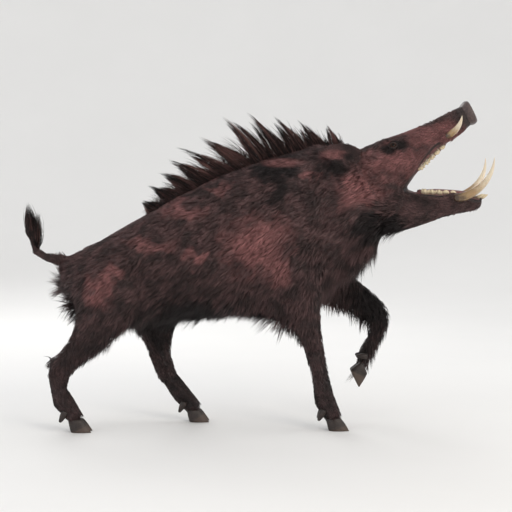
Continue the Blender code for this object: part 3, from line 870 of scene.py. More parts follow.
def lofted(outlines: list[list[Vector]]) -> bmesh.types.BMesh:
    """A closed form extruded from one outline to the next.

    Args:
        outlines: rings of the same number of points, in order.

    Returns:
        A bmesh with the share of the way "along" at its points and a map that runs lengthwise.
    """
    form = bmesh.new()
    wrap = form.loops.layers.uv.new(LENGTH_MAP)
    along = form.verts.layers.float.new("along")
    sides = len(outlines[0])
    ring = bmesh.ops.create_circle(form, segments=sides, radius=1.0)["verts"]
    edges = list({edge for vertex in ring for edge in vertex.link_edges})
    bmesh.ops.contextual_create(form, geom=ring)
    for number, outline in enumerate(outlines):
        if number:
            grown = set(bmesh.ops.extrude_edge_only(form, edges=edges)["geom"])
            edges = [part for part in grown if isinstance(part, bmesh.types.BMEdge)]
            ring = [
                next(e.other_vert(v) for e in v.link_edges if e.other_vert(v) in grown) for v in ring
            ]
        for vertex, spot in zip(ring, outline):
            vertex.co = spot
            vertex[along] = number / (len(outlines) - 1)
    bmesh.ops.contextual_create(form, geom=ring)
    form.verts.index_update()
    for face in form.faces:
        steps = [loop.vert.index % sides for loop in face.loops]
        wraps = max(steps) - min(steps) > sides / 2
        for loop, step in zip(face.loops, steps):
            step += sides if wraps and step < sides / 2 else 0
            loop[wrap].uv = (step / sides, loop.vert[along])
    return form


def merged_copy(form: bmesh.types.BMesh, node: str) -> int:
    """Adds a closed copy of a CAD node to a bmesh and returns its number of faces."""
    copy = bmesh.new()
    copy.from_mesh(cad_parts[node].data)
    bmesh.ops.remove_doubles(copy, verts=copy.verts, dist=1e-5)
    mesh = bpy.data.meshes.new("copy")
    copy.to_mesh(mesh)
    faces = len(copy.faces)
    copy.free()
    form.from_mesh(mesh)
    bpy.data.meshes.remove(mesh)
    return faces


def place_piece(obj: bpy.types.Object, nodes: Sequence[str] = ()) -> None:
    """Fixes a piece to the body, and hides the nodes it stands for.

    Args:
        obj: the piece.
        nodes: the CAD nodes that it replaces.
    """
    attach(obj, BODY)
    if nodes:
        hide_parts(*nodes)
    obj.data.calc_loop_triangles()
    LOG.info("%s: %d triangles", obj.name, len(obj.data.loop_triangles))


# ---------------------------------------------------------------- skin
@dataclass(frozen=True)
class Lie:
    """How the coat lies on one node: its depth, the way it points, and how soft the form is."""

    depth: float
    flow: Vector
    softness: float = 1.0


def lies() -> dict[str, Lie]:
    """The coat's depth and direction on each node of flesh."""
    ahead = Vector((1, 0, 0))
    made = {
        "trunk": Lie(0.016, Vector((-1, 0, -0.12))),
        "neck": Lie(0.019, Vector((-1, 0, -0.25)), 0.8),
        "head": Lie(0.0045, -(HEAD.to_3x3() @ ahead), 0.25),
        "lower_jaw": Lie(0.0040, -(LOWER_JAW.to_3x3() @ ahead), 0.25),
        "tail": Lie(0.0020, middle("tail_tuft") - middle("tail"), 0.15),
    }
    for side in Side:
        made[f"ear_{side.word}"] = Lie(0.0010, ear_frame(side).to_3x3().col[0], 0.10)
    for leg in LEGS:
        knee = middle(f"{leg}_lower")
        made[f"{leg}_upper"] = Lie(0.0090, knee - middle(f"{leg}_upper"), 0.7)
        made[f"{leg}_lower"] = Lie(0.0019, foot(leg) - knee, 0.3)
    return made


@dataclass(frozen=True)
class Stroke:
    """One pull of the modelling tool, in its part's frame: a soft mound or dent."""

    centre: tuple[float, float, float]
    radii: tuple[float, float, float]
    height: float


@dataclass(frozen=True)
class TeethRow:
    """Where one jaw's gum and lip run: from back to front, and how far out they are at each."""

    span: tuple[float, float]
    gum: tuple[float, float]
    lip: tuple[float, float]
    tooth: float = 0.0125
    gum_rise: float = 0.0024
    lip_rise: float = 0.0030
    hollow: float = 0.0030
    ridge: float = 0.0009
    ridge_step: float = 0.0095

    def at(self, ahead: np.ndarray) -> tuple[np.ndarray, np.ndarray]:
        """The distances of the gum and the lip from the middle, at places along the jaw."""
        return np.interp(ahead, self.span, self.gum), np.interp(ahead, self.span, self.lip)

    def _zone(self, ahead: np.ndarray, start: float) -> np.ndarray:
        """How far places along the jaw are within the row, easing in up to start and out at its end."""
        first, stop = self.span
        return eased(ahead, first - 0.03, first + start) * (1 - eased(ahead, stop, stop + 0.02))

    def seat(self, spot: np.ndarray) -> np.ndarray:
        """How near points in the jaw's frame are to the row's teeth, from 0 to 1."""
        gum, _ = self.at(spot[:, 0])
        return self._zone(spot[:, 0], -0.01) * bell(np.abs(spot[:, 1]), gum, self.tooth, 4)

    def relief(self, spot: np.ndarray, facing: np.ndarray) -> np.ndarray:
        """How far the mouth's surface stands up: gums, lips, and a ridged hollow between them.

        Args:
            spot: points in the jaw's frame.
            facing: how squarely each faces into the mouth, from 0 to 1.

        Returns:
            Heights in metres.
        """
        gum, lip = self.at(spot[:, 0])
        out, stop = np.abs(spot[:, 1]), self.span[1]
        ridges = np.sin((spot[:, 0] + 0.30 * out) * (2 * math.pi / self.ridge_step))
        within = 1 - eased(out, gum - 0.014, gum - 0.006)
        toothed = 1 - eased(spot[:, 0], stop - 0.070, stop - 0.035)
        height = self.gum_rise * bell(out, gum, 0.0070) * toothed
        height += self.lip_rise * bell(out - lip, 0.003, 0.0035)
        height += within * (self.ridge * ridges - self.hollow)
        return height * self._zone(spot[:, 0], 0.0) * facing


@dataclass
class Skin:
    """The one skin: CAD flesh fused, drawn in by the coat's depth and modelled at the head."""

    voxel: float = 0.0030
    swell: float = 0.0002
    triangles: int = 150_000
    body_strokes: tuple[Stroke, ...] = (
        Stroke((0.075, 0.17, 0.66), (0.10, 0.09, 0.15), 0.012),  # shoulder blade
        Stroke((-0.085, 0.17, 0.56), (0.034, 0.10, 0.15), -0.011),  # hollow behind the shoulder
        Stroke((0.200, 0.16, 0.69), (0.032, 0.10, 0.13), -0.010),  # hollow before the shoulder
        Stroke((-0.555, 0.15, 0.55), (0.10, 0.09, 0.12), 0.009),  # haunch
        Stroke((-0.400, 0.15, 0.55), (0.045, 0.09, 0.11), -0.012),  # flank
        Stroke((0.315, 0.11, 0.73), (0.028, 0.08, 0.07), 0.007),  # roll of the neck behind the jaw
        Stroke((0.270, 0.11, 0.74), (0.016, 0.08, 0.09), -0.006),  # crease behind that roll
    )
    head_strokes: tuple[Stroke, ...] = (
        Stroke((0.150, 0.062, 0.064), (0.050, 0.020, 0.014), 0.0045),  # brow
        Stroke((0.245, 0.058, 0.006), (0.060, 0.020, 0.022), -0.0050),  # hollow before the eye
        Stroke((0.150, 0.080, 0.004), (0.045, 0.020, 0.012), 0.0035),  # cheek bone
        Stroke((0.345, 0.048, -0.004), (0.034, 0.020, 0.020), 0.0040),  # lip over the upper tusk
        Stroke((0.395, 0.040, 0.004), (0.012, 0.020, 0.030), -0.0020),  # neck behind the disc
        Stroke((0.060, 0.082, -0.040), (0.040, 0.025, 0.050), 0.0030),  # jaw muscle
        Stroke((0.340, 0.053, -0.018), (0.016, 0.012, 0.014), 0.0045),  # collar of the upper tusk
    )
    jaw_strokes: tuple[Stroke, ...] = (
        Stroke((0.238, 0.044, 0.000), (0.018, 0.012, 0.012), 0.0050),  # collar of the lower tusk
    )
    ear_hollow: float = 0.0055
    ear_middle: float = 0.060  # along the ear, from its base
    ear_fringe: float = 0.0030
    jowl_fringe: float = 0.0050
    hoof_fringe: float = 0.0028
    snout_wrinkle: float = 0.0011
    wrinkle_step: float = 0.0125
    behind_disc: float = 0.007
    eye_slit: tuple[float, float, float] = (0.98, 0.60, 0.46)  # half-width, rise, fall, in radians
    lid: float = 0.0019
    lid_fold: float = 0.0012
    lid_root: float = 0.0040  # how deep in the eyeball the lids' inner edges end
    upper_row: TeethRow = TeethRow((0.200, 0.345), (0.0345, 0.0245), (0.0470, 0.0420))
    lower_row: TeethRow = TeethRow((0.115, 0.316), (0.0315, 0.0190), (0.0430, 0.0255))
    plan: dict[str, Lie] = field(default_factory=lies)
    names: np.ndarray = field(init=False)
    owner: np.ndarray = field(init=False)
    tree: BVHTree = field(init=False)
    obj: bpy.types.Object = field(init=False)
    points: np.ndarray = field(init=False)
    normals: np.ndarray = field(init=False)
    labels: np.ndarray = field(init=False)
    depth: np.ndarray = field(init=False)
    soft: np.ndarray = field(init=False)
    flow: np.ndarray = field(init=False)
    fringe: np.ndarray = field(init=False)
    bare: np.ndarray = field(init=False)

    def build(self) -> None:
        """Builds the skin and measures what the coat needs to know of it."""
        self.names = np.array(list(self.plan))
        self._fuse()
        self._draw_in()
        self._refine_round_eyes()
        self._model()
        self._describe()
        dress(self.obj, Hide())
        for face in self.obj.data.polygons:
            face.use_smooth = True
        place_piece(self.obj, list(self.plan))

    def on(self, *nodes: str) -> np.ndarray:
        """Which of the skin's points lie on these nodes."""
        return np.isin(self.names[self.labels], nodes)

    def _fuse(self) -> None:
        """Joins the nodes of flesh into one closed mesh, finest at head, feet and tail."""
        flesh = bmesh.new()
        self.owner = np.repeat(range(len(self.plan)), [merged_copy(flesh, node) for node in self.plan])
        flesh.faces.ensure_lookup_table()
        self.tree = BVHTree.FromBMesh(flesh)
        for side in Side:
            merged_copy(flesh, f"eye_{side.word}")
        self.obj = from_bmesh("boar_skin", flesh)
        modify(self.obj, "DISPLACE", strength=self.swell, mid_level=0.0)
        modify(self.obj, "REMESH", mode="VOXEL", voxel_size=self.voxel)
        settle(self.obj)
        points, _ = coordinates(self.obj.data)
        ahead = local(points, HEAD)[:, 0]
        coarse = 1 - 0.97 * eased(ahead, -0.02, 0.05)
        coarse *= 1 - 0.80 * eased(-points[:, 2], -0.16, -0.10)
        coarse *= 1 - 0.80 * eased(-points[:, 0], 0.66, 0.70)
        self.obj.data.calc_loop_triangles()
        full = len(self.obj.data.loop_triangles)
        modify(
            self.obj,
            "DECIMATE",
            ratio=self.triangles / full,
            vertex_group=weigh(self.obj, "coarse", coarse),
            vertex_group_factor=8.0,
            use_collapse_triangulate=True,
        )
        settle(self.obj)
        LOG.info("fused skin: %d of %d triangles", len(self.obj.data.polygons), full)

    def _edges(self) -> np.ndarray:
        """The skin's edges as pairs of vertex numbers."""
        mesh = self.obj.data
        edges = np.empty((len(mesh.edges), 2), np.int32)
        mesh.edges.foreach_get("vertices", edges.ravel())
        return edges

    def _measure(self) -> None:
        """Finds, for every point, its node, the coat's depth and the way the hair points."""
        self.points, self.normals = coordinates(self.obj.data)
        nearest = [self.tree.find_nearest(p)[2] for p in self.points.tolist()]
        self.labels = self.owner[np.array(nearest)]
        edges = self._edges()
        here = list(self.plan.values())
        own = np.array([lie.depth for lie in here])[self.labels]
        ahead = local(self.points, HEAD)[:, 0]
        face = 0.0120 * (1 - eased(ahead, -0.03, 0.13)) - 0.0020 * eased(ahead, 0.20, 0.38)
        own += self.on("head", "lower_jaw") * face
        thin = own < 0.0015
        depth = own.copy()
        for _ in range(4):
            depth = np.where(thin, own, spread(depth[:, None], edges, 28)[:, 0])
        soft = np.array([lie.softness for lie in here])[self.labels]
        flow = np.array([lie.flow.normalized() for lie in here])[self.labels]
        fields = spread(np.column_stack([depth, soft, flow]), edges, 14)
        self.depth, self.soft, self.flow = fields[:, 0], fields[:, 1], fields[:, 2:5]

    def _draw_in(self) -> None:
        """Moves the skin in by the coat's depth and smooths the body's form and the teeth's seats."""
        self._measure()
        move_points(self.obj.data, self.points - self.normals * self.depth[:, None])
        upper, lower = local(self.points, HEAD), local(self.points, LOWER_JAW)
        chin = eased(lower[:, 0], 0.292, 0.318) * self.on("lower_jaw")
        above = self.upper_row.seat(upper) * (upper[:, 2] < -0.020) * (upper[:, 0] > 0.15)
        below = self.lower_row.seat(lower) * (lower[:, 2] > -0.012)
        seats = above * self.on("head") + below * self.on("lower_jaw")
        for name, weights, rounds in (("soft", self.soft + chin, 16), ("seats", seats, 70)):
            group = weigh(self.obj, name, np.clip(weights, 0, 1))
            modify(self.obj, "SMOOTH", factor=0.5, iterations=rounds, vertex_group=group)
        settle(self.obj)

    def eye_frame(self, side: Side) -> Matrix:
        """The frame of an eye: X along the slit towards the snout, Y up, Z outwards."""
        flip = side.value
        out = Vector((0.20, flip * 0.90, 0.36)).normalized()
        slit = square_to(Vector((1.0, 0, -0.30)), out)
        up = out.cross(slit) * flip
        axes = HEAD.to_3x3().normalized() @ Matrix((slit, up, out)).transposed()
        return Matrix.Translation(middle(f"eye_{side.word}")) @ axes.to_4x4()

    def _refine_round_eyes(self) -> None:
        """Divides the faces round the eyes, so that the lids can be modelled."""
        form = bmesh.new()
        form.from_mesh(self.obj.data)
        centres = [middle(f"eye_{side.word}") for side in Side]
        for reach in (0.038, 0.030):
            close = [
                edge
                for edge in form.edges
                if min((edge.verts[0].co - c).length for c in centres) < reach
            ]
            bmesh.ops.subdivide_edges(form, edges=close, cuts=1, use_grid_fill=True)
            bmesh.ops.triangulate(form, faces=[f for f in form.faces if len(f.verts) > 3])
        form.to_mesh(self.obj.data)
        form.free()

    def _model(self) -> None:
        """Works the strokes, the ears, the snout, the mouth and the eyelids into the skin."""
        points, normals = coordinates(self.obj.data)
        lift = np.zeros(len(points))
        for shape in (self._pull_strokes, self._hollow_ears, self._wrinkle_snout, self._form_mouth):
            shape(points, normals, lift)
        points = points + normals * lift[:, None]
        for side in Side:
            points = self._lids(points, side)
        move_points(self.obj.data, points)

    def _pull_strokes(self, points: np.ndarray, normals: np.ndarray, lift: np.ndarray) -> None:
        """Adds every stroke, on both sides, to the lift along the normals.

        Args:
            points: the skin's points.
            normals: their normals, which only the other three steps need.
            lift: how far each point is to move, changed in place.
        """
        places = (
            (Matrix.Identity(4), self.body_strokes),
            (HEAD, self.head_strokes),
            (LOWER_JAW, self.jaw_strokes),
        )
        for place, strokes in places:
            spot = local(points, place)
            for stroke in strokes:
                for side in Side:
                    centre = np.array(stroke.centre) * (1, side.value, 1)
                    away = (((spot - centre) / np.array(stroke.radii)) ** 2).sum(axis=1)
                    lift += stroke.height * np.exp(-away)

    def _hollow_ears(self, points: np.ndarray, normals: np.ndarray, lift: np.ndarray) -> None:
        """Sinks the cup of each ear into its outer face."""
        for side in Side:
            spot = local(points, ear_frame(side))
            facing = turned(normals, ear_frame(side))[:, 2]
            along = ((spot[:, 0] - self.ear_middle) / 0.040) ** 2
            cup = np.exp(-along - (spot[:, 1] / 0.019) ** 2)
            opening = eased(facing, 0.3, 0.7) * (abs(spot[:, 2] - 0.004) < 0.02)
            lift -= self.ear_hollow * cup * opening

    def _wrinkle_snout(self, points: np.ndarray, normals: np.ndarray, lift: np.ndarray) -> None:
        """Rings the top of the snout with wrinkles and draws its end in behind the disc."""
        spot = local(points, HEAD)
        zone = eased(spot[:, 0], 0.25, 0.36) * eased(-spot[:, 0], -0.425, -0.410)
        zone *= eased(spot[:, 2], -0.030, 0.0)
        bend = spot[:, 0] + 0.10 * spot[:, 2] + 0.0035 * ripple(points, 0.05, 5)
        lift += zone * self.snout_wrinkle * np.sin(bend * (2 * math.pi / self.wrinkle_step))
        end = eased(turned(normals, HEAD)[:, 0], 0.6, 0.9)
        lift -= self.behind_disc * eased(spot[:, 0], 0.412, 0.419) * end

    def _form_mouth(self, points: np.ndarray, normals: np.ndarray, lift: np.ndarray) -> None:
        """Raises gums, lips and the palate's ridges on the faces that look into the mouth."""
        ahead = local(points, HEAD)[:, 0] > 0.05
        for row, place, up in ((self.upper_row, HEAD, -1), (self.lower_row, LOWER_JAW, 1)):
            facing = eased(turned(normals, place)[:, 2] * up, 0.05, 0.55)
            near = local(points, place)
            jaw = (near[:, 2] < -0.010) if up < 0 else (near[:, 2] > -0.030)
            lift += row.relief(near, facing * jaw * ahead)

    def _lids(self, points: np.ndarray, side: Side) -> np.ndarray:
        """Forms the eyelids over one eyeball.

        Args:
            points: the skin's points.
            side: which eye.

        Returns:
            The points, with the lids worked in.
        """
        place = self.eye_frame(side)
        spot = local(points, place)
        span = np.linalg.norm(spot, axis=1)
        way = spot / span[:, None]
        angle = np.arccos(np.clip(way[:, 2], -1, 1))
        bearing = np.arctan2(way[:, 1], way[:, 0])
        along, above = angle * np.cos(bearing), angle * np.sin(bearing)
        half_wide, rise, fall = self.eye_slit
        half_high = np.where(above > 0, rise, fall)
        slit = half_high * np.maximum(1 - (along / half_wide) ** 2, 0) ** 0.8
        # how far a point is outside the slit, as an angle
        outside = np.where(
            np.abs(along) < half_wide,
            np.abs(above) - slit,
            np.hypot(np.abs(along) - half_wide, above),
        )
        margin, buried = EYE_RADIUS + self.lid, EYE_RADIUS - self.lid_root
        fold = self.lid_fold * bell(outside, 0.34, 0.07) * (above > -0.2)
        lid = margin + self.lid_fold * bell(outside, 0.10, 0.10) - fold
        target = buried + (lid - buried) * eased(outside, -0.10, 0.02)
        near = (1 - eased(outside, 0.30, 1.05)) * (angle < 2.2) * (span < 0.045)
        target = span + (target - span) * near
        rotation = np.array(place)[:3, :3]
        fixed = (way * target[:, None]) @ rotation.T + np.array(place.translation)
        return np.where((near > 0)[:, None], fixed, points)

    def _describe(self) -> None:
        """Measures the finished skin, marks its bare and wet places and combs its hair."""
        self._measure()
        upper, lower = local(self.points, HEAD), local(self.points, LOWER_JAW)
        mouth = self._mouth(upper, lower)
        self.bare = self._bare(upper, mouth)
        self.fringe = self._fringe(upper)
        self._comb()
        # how far back in the mouth, for the painted shade towards the throat
        far_in = 1 - eased(np.maximum(upper[:, 0], lower[:, 0] + 0.09), 0.15, 0.21)
        half = np.full(len(mouth), 0.5)
        for name, values in (("mouth", mouth), ("deep", far_in), ("bare", self.bare), ("tone", half)):
            store(self.obj.data, name, values)

    def _mouth(self, upper: np.ndarray, lower: np.ndarray) -> np.ndarray:
        """How far each point is inside the mouth, from 0 to 1, given its places in both jaws."""
        up_face, low_face = turned(self.normals, HEAD), turned(self.normals, LOWER_JAW)
        up_in = eased(-up_face[:, 2], -0.10, 0.15)
        low_in = eased(low_face[:, 2], 0.10, 0.40) * (1 - eased(low_face[:, 0], 0.45, 0.75))
        rows = (
            (self.upper_row, "head", upper, up_in, 0.115),
            (self.lower_row, "lower_jaw", lower, low_in, 0.012),
        )
        mouth = np.zeros(len(self.points))
        for row, node, spot, facing, back in rows:
            _, lip = row.at(spot[:, 0])
            inside = 1 - eased(np.abs(spot[:, 1]), lip - 0.005, lip + 0.003)
            inside *= eased(spot[:, 0], back - 0.01, back + 0.01) * facing
            inside *= 1 - eased(spot[:, 0] + 9 * spot[:, 1] ** 2, row.span[1], row.span[1] + 0.014)
            mouth = np.maximum(mouth, inside * self.on(node))
        return spread(mouth[:, None], self._edges(), 1)[:, 0]

    def _bare(self, upper: np.ndarray, mouth: np.ndarray) -> np.ndarray:
        """Where no hair grows, from 0 to 1: the mouth, the end of the snout and round the eyes."""
        snout = eased(upper[:, 0], 0.385, 0.415) * self.on("head")
        bare = np.maximum(spread(mouth[:, None], self._edges(), 2)[:, 0] > 0.04, snout)
        for side in Side:
            spot = local(self.points, self.eye_frame(side))
            oval = np.hypot(spot[:, 0] / 0.018, spot[:, 1] / 0.0135)
            bare = np.maximum(bare, (1 - eased(oval, 0.75, 1.05)) * (spot[:, 2] > 0))
        return bare

    def _fringe(self, upper: np.ndarray) -> np.ndarray:
        """Extra depth of hair at the rims of the ears, above the hooves and at the jowl."""
        fringe = np.zeros(len(self.points))
        for side in Side:
            spot = local(self.points, ear_frame(side))
            rim = np.hypot((spot[:, 0] - self.ear_middle) / 0.085, spot[:, 1] / 0.043)
            fringe += self.on(f"ear_{side.word}") * self.ear_fringe * eased(rim, 0.70, 0.95)
        for leg in LEGS:
            reach = np.linalg.norm(self.points - np.array(foot(leg)), axis=1)
            fringe += self.hoof_fringe * (1 - eased(reach, 0.038, 0.056))
        jowl = (((upper - (0.03, 0, -0.07)) / (0.05, 0.30, 0.05)) ** 2).sum(axis=1)
        return fringe + self.jowl_fringe * np.exp(-jowl)

    def _comb(self) -> None:
        """Lays the hair's directions along the skin, with a droop on the sides of the body."""
        flow = unit(self.flow)
        flow[:, 2] -= self.on("trunk", "neck") * 0.35 * np.abs(self.normals[:, 1])
        flow -= self.normals * (flow * self.normals).sum(axis=1, keepdims=True)
        self.flow = unit(flow)


# ---------------------------------------------------------------- coat
@dataclass(kw_only=True)
class Locks:
    """Many thin, tapering locks of hair, made as one mesh from arrays."""

    roots: np.ndarray
    normals: np.ndarray
    headings: np.ndarray
    widths: np.ndarray
    tones: np.ndarray
    spots: np.ndarray
    patch: float = 0.003

    def mesh(self, name: str, lines: np.ndarray) -> bpy.types.Mesh:
        """The locks as closed three-sided blades round their middle lines.

        Args:
            name: the mesh's name.
            lines: the middle lines, as locks by points by 3.

        Returns:
            The mesh, with its bake map and what the finishes read.
        """
        count, rings = lines.shape[0], lines.shape[1] - 1
        shares = np.arange(rings) / rings
        points = self._corners(lines, shares)
        size = rings * 3 + 1
        corner_list, sides = self._faces(rings)
        firsts = np.arange(count)[:, None]
        loops = (corner_list[None] + firsts * size).ravel()
        starts = np.concatenate([[0], np.cumsum(sides)[:-1]])
        starts = (starts[None] + firsts * len(corner_list)).ravel()
        mesh = bpy.data.meshes.new(name)
        mesh.vertices.add(count * size)
        mesh.vertices.foreach_set("co", points.astype(np.float32).ravel())
        mesh.loops.add(len(loops))
        mesh.loops.foreach_set("vertex_index", loops.astype(np.int32))
        mesh.polygons.add(len(starts))
        mesh.polygons.foreach_set("loop_start", starts.astype(np.int32))
        mesh.polygons.foreach_set("use_smooth", np.ones(len(starts), bool))
        mesh.update(calc_edges=True)
        along = np.append(np.repeat(shares, 3), 1.0)
        store(mesh, "along", np.tile(along, count))
        store(mesh, "tone", np.repeat(self.tones, size))
        sideways = np.append(np.tile((-0.5, 0.5, 0.0), rings), 0.0)
        patch = np.stack([sideways, along - 0.5], axis=1) * self.patch
        spots = (self.spots[:, None] + patch[None]).reshape(-1, 2)[loops]
        spots[1 :: len(corner_list), 1] -= self.patch / 2  # so that the root's face has a width
        layer = mesh.uv_layers.new(name=BAKE_MAP)
        layer.data.foreach_set("uv", spots.astype(np.float32).ravel())
        return mesh

    def _corners(self, lines: np.ndarray, shares: np.ndarray) -> np.ndarray:
        """The points of every lock: three for each ring and one for its tip."""
        across = unit(np.cross(self.headings, self.normals))
        swell = np.sin(np.pi * (0.28 + 0.72 * shares)) ** 0.8
        half = self.widths[:, None] * swell[None, :] / 2
        corners = np.empty((len(lines), len(shares), 3, 3))
        corners[:, :, 0] = lines[:, :-1] - across[:, None] * half[..., None]
        corners[:, :, 1] = lines[:, :-1] + across[:, None] * half[..., None]
        corners[:, :, 2] = lines[:, :-1] + self.normals[:, None] * half[..., None] * 0.7
        return np.concatenate([corners.reshape(len(lines), -1, 3), lines[:, -1:]], axis=1)

    @staticmethod
    def _faces(rings: int) -> tuple[np.ndarray, np.ndarray]:
        """One lock's faces: the numbers of their corners in a row, and how many each face has."""
        faces = [(0, 2, 1)]
        for ring in range(rings - 1):
            for k in range(3):
                a, b = ring * 3 + k, ring * 3 + (k + 1) % 3
                faces.append((a, b, b + 3, a + 3))
        top = (rings - 1) * 3
        faces += [(top + k, top + (k + 1) % 3, top + 3) for k in range(3)]
        return np.concatenate([np.array(f) for f in faces]), np.array([len(f) for f in faces])


@dataclass(kw_only=True)
class LyingLocks(Locks):
    """Locks of the short coat, which rise and then lie down, or hang under the body."""

    lengths: np.ndarray
    lifts: np.ndarray
    droops: np.ndarray
    deepest_root: float = 0.0015

    def bent(self, count: int) -> np.ndarray:
        """The middle lines of the locks.

        Args:
            count: points along each lock.

        Returns:
            An array of locks by points by 3.
        """
        sink = np.minimum(self.deepest_root, 0.05 * self.lengths)
        places = [self.roots - self.normals * sink[:, None]]
        step = self.lengths[:, None] / (count - 1)
        for i in range(count - 1):
            share = i / max(count - 2, 1)
            lift = self.lifts * (1.7 - 1.5 * share) * (1 - self.droops)
            lift += self.droops * (0.40 + 0.55 * share)
            way = self.headings * np.cos(lift)[:, None] + self.normals * np.sin(lift)[:, None]
            places.append(places[-1] + way * step)
        return np.stack(places, axis=1)

    def gathered(self, lines: np.ndarray, every: int, pull: float) -> np.ndarray:
        """The lines with their ends drawn together into tufts.

        Args:
            lines: the middle lines.
            every: one lock in this many leads a tuft.
            pull: how far the ends move to their leader's, from 0 to 1.

        Returns:
            The lines, drawn together.
        """
        leaders = np.arange(0, len(lines), every)
        tree = kdtree.KDTree(len(leaders))
        for i, leader in enumerate(leaders):
            tree.insert(lines[leader, 0], i)
        tree.balance()
        mine = leaders[[tree.find(root)[1] for root in lines[:, 0]]]
        gap = np.linalg.norm(self.roots[mine] - self.roots, axis=1)
        alike = (self.normals[mine] * self.normals).sum(axis=1)
        pull = pull * (1 - eased(gap, 0.4 * self.lengths, 1.2 * self.lengths))
        pull *= eased(alike, 0.3, 0.8)
        shares = np.linspace(0, 1, lines.shape[1])[None, :, None] ** 1.5
        return lines + (lines[mine] - lines) * shares * pull[:, None, None]


@dataclass(frozen=True)
class CoatArea:
    """One piece of the coat: the nodes it covers, its locks, and the axis it is unwrapped round."""

    name: str
    nodes: tuple[str, ...]
    locks: int
    start: Vector
    end: Vector
    side: Side | None = None
    ahead: tuple[float, float] = (-9.0, 9.0)

    def unwrapped(self, roots: np.ndarray) -> np.ndarray:
        """Each root's place on the unrolled skin: along the area's axis and round it."""
        axis = (self.end - self.start).normalized()
        up = Vector((0, 0, 1)) if abs(axis.z) < 0.8 else Vector((1, 0, 0))
        across = axis.cross(up).normalized()
        up = across.cross(axis)
        away = roots - np.array(self.start)
        turn = np.arctan2(away @ np.array(across), away @ np.array(up))
        spots = np.stack([away @ np.array(axis), turn], axis=1)
        low, high = spots.min(axis=0), spots.max(axis=0)
        return 0.01 + 0.98 * (spots - low) / (high - low)


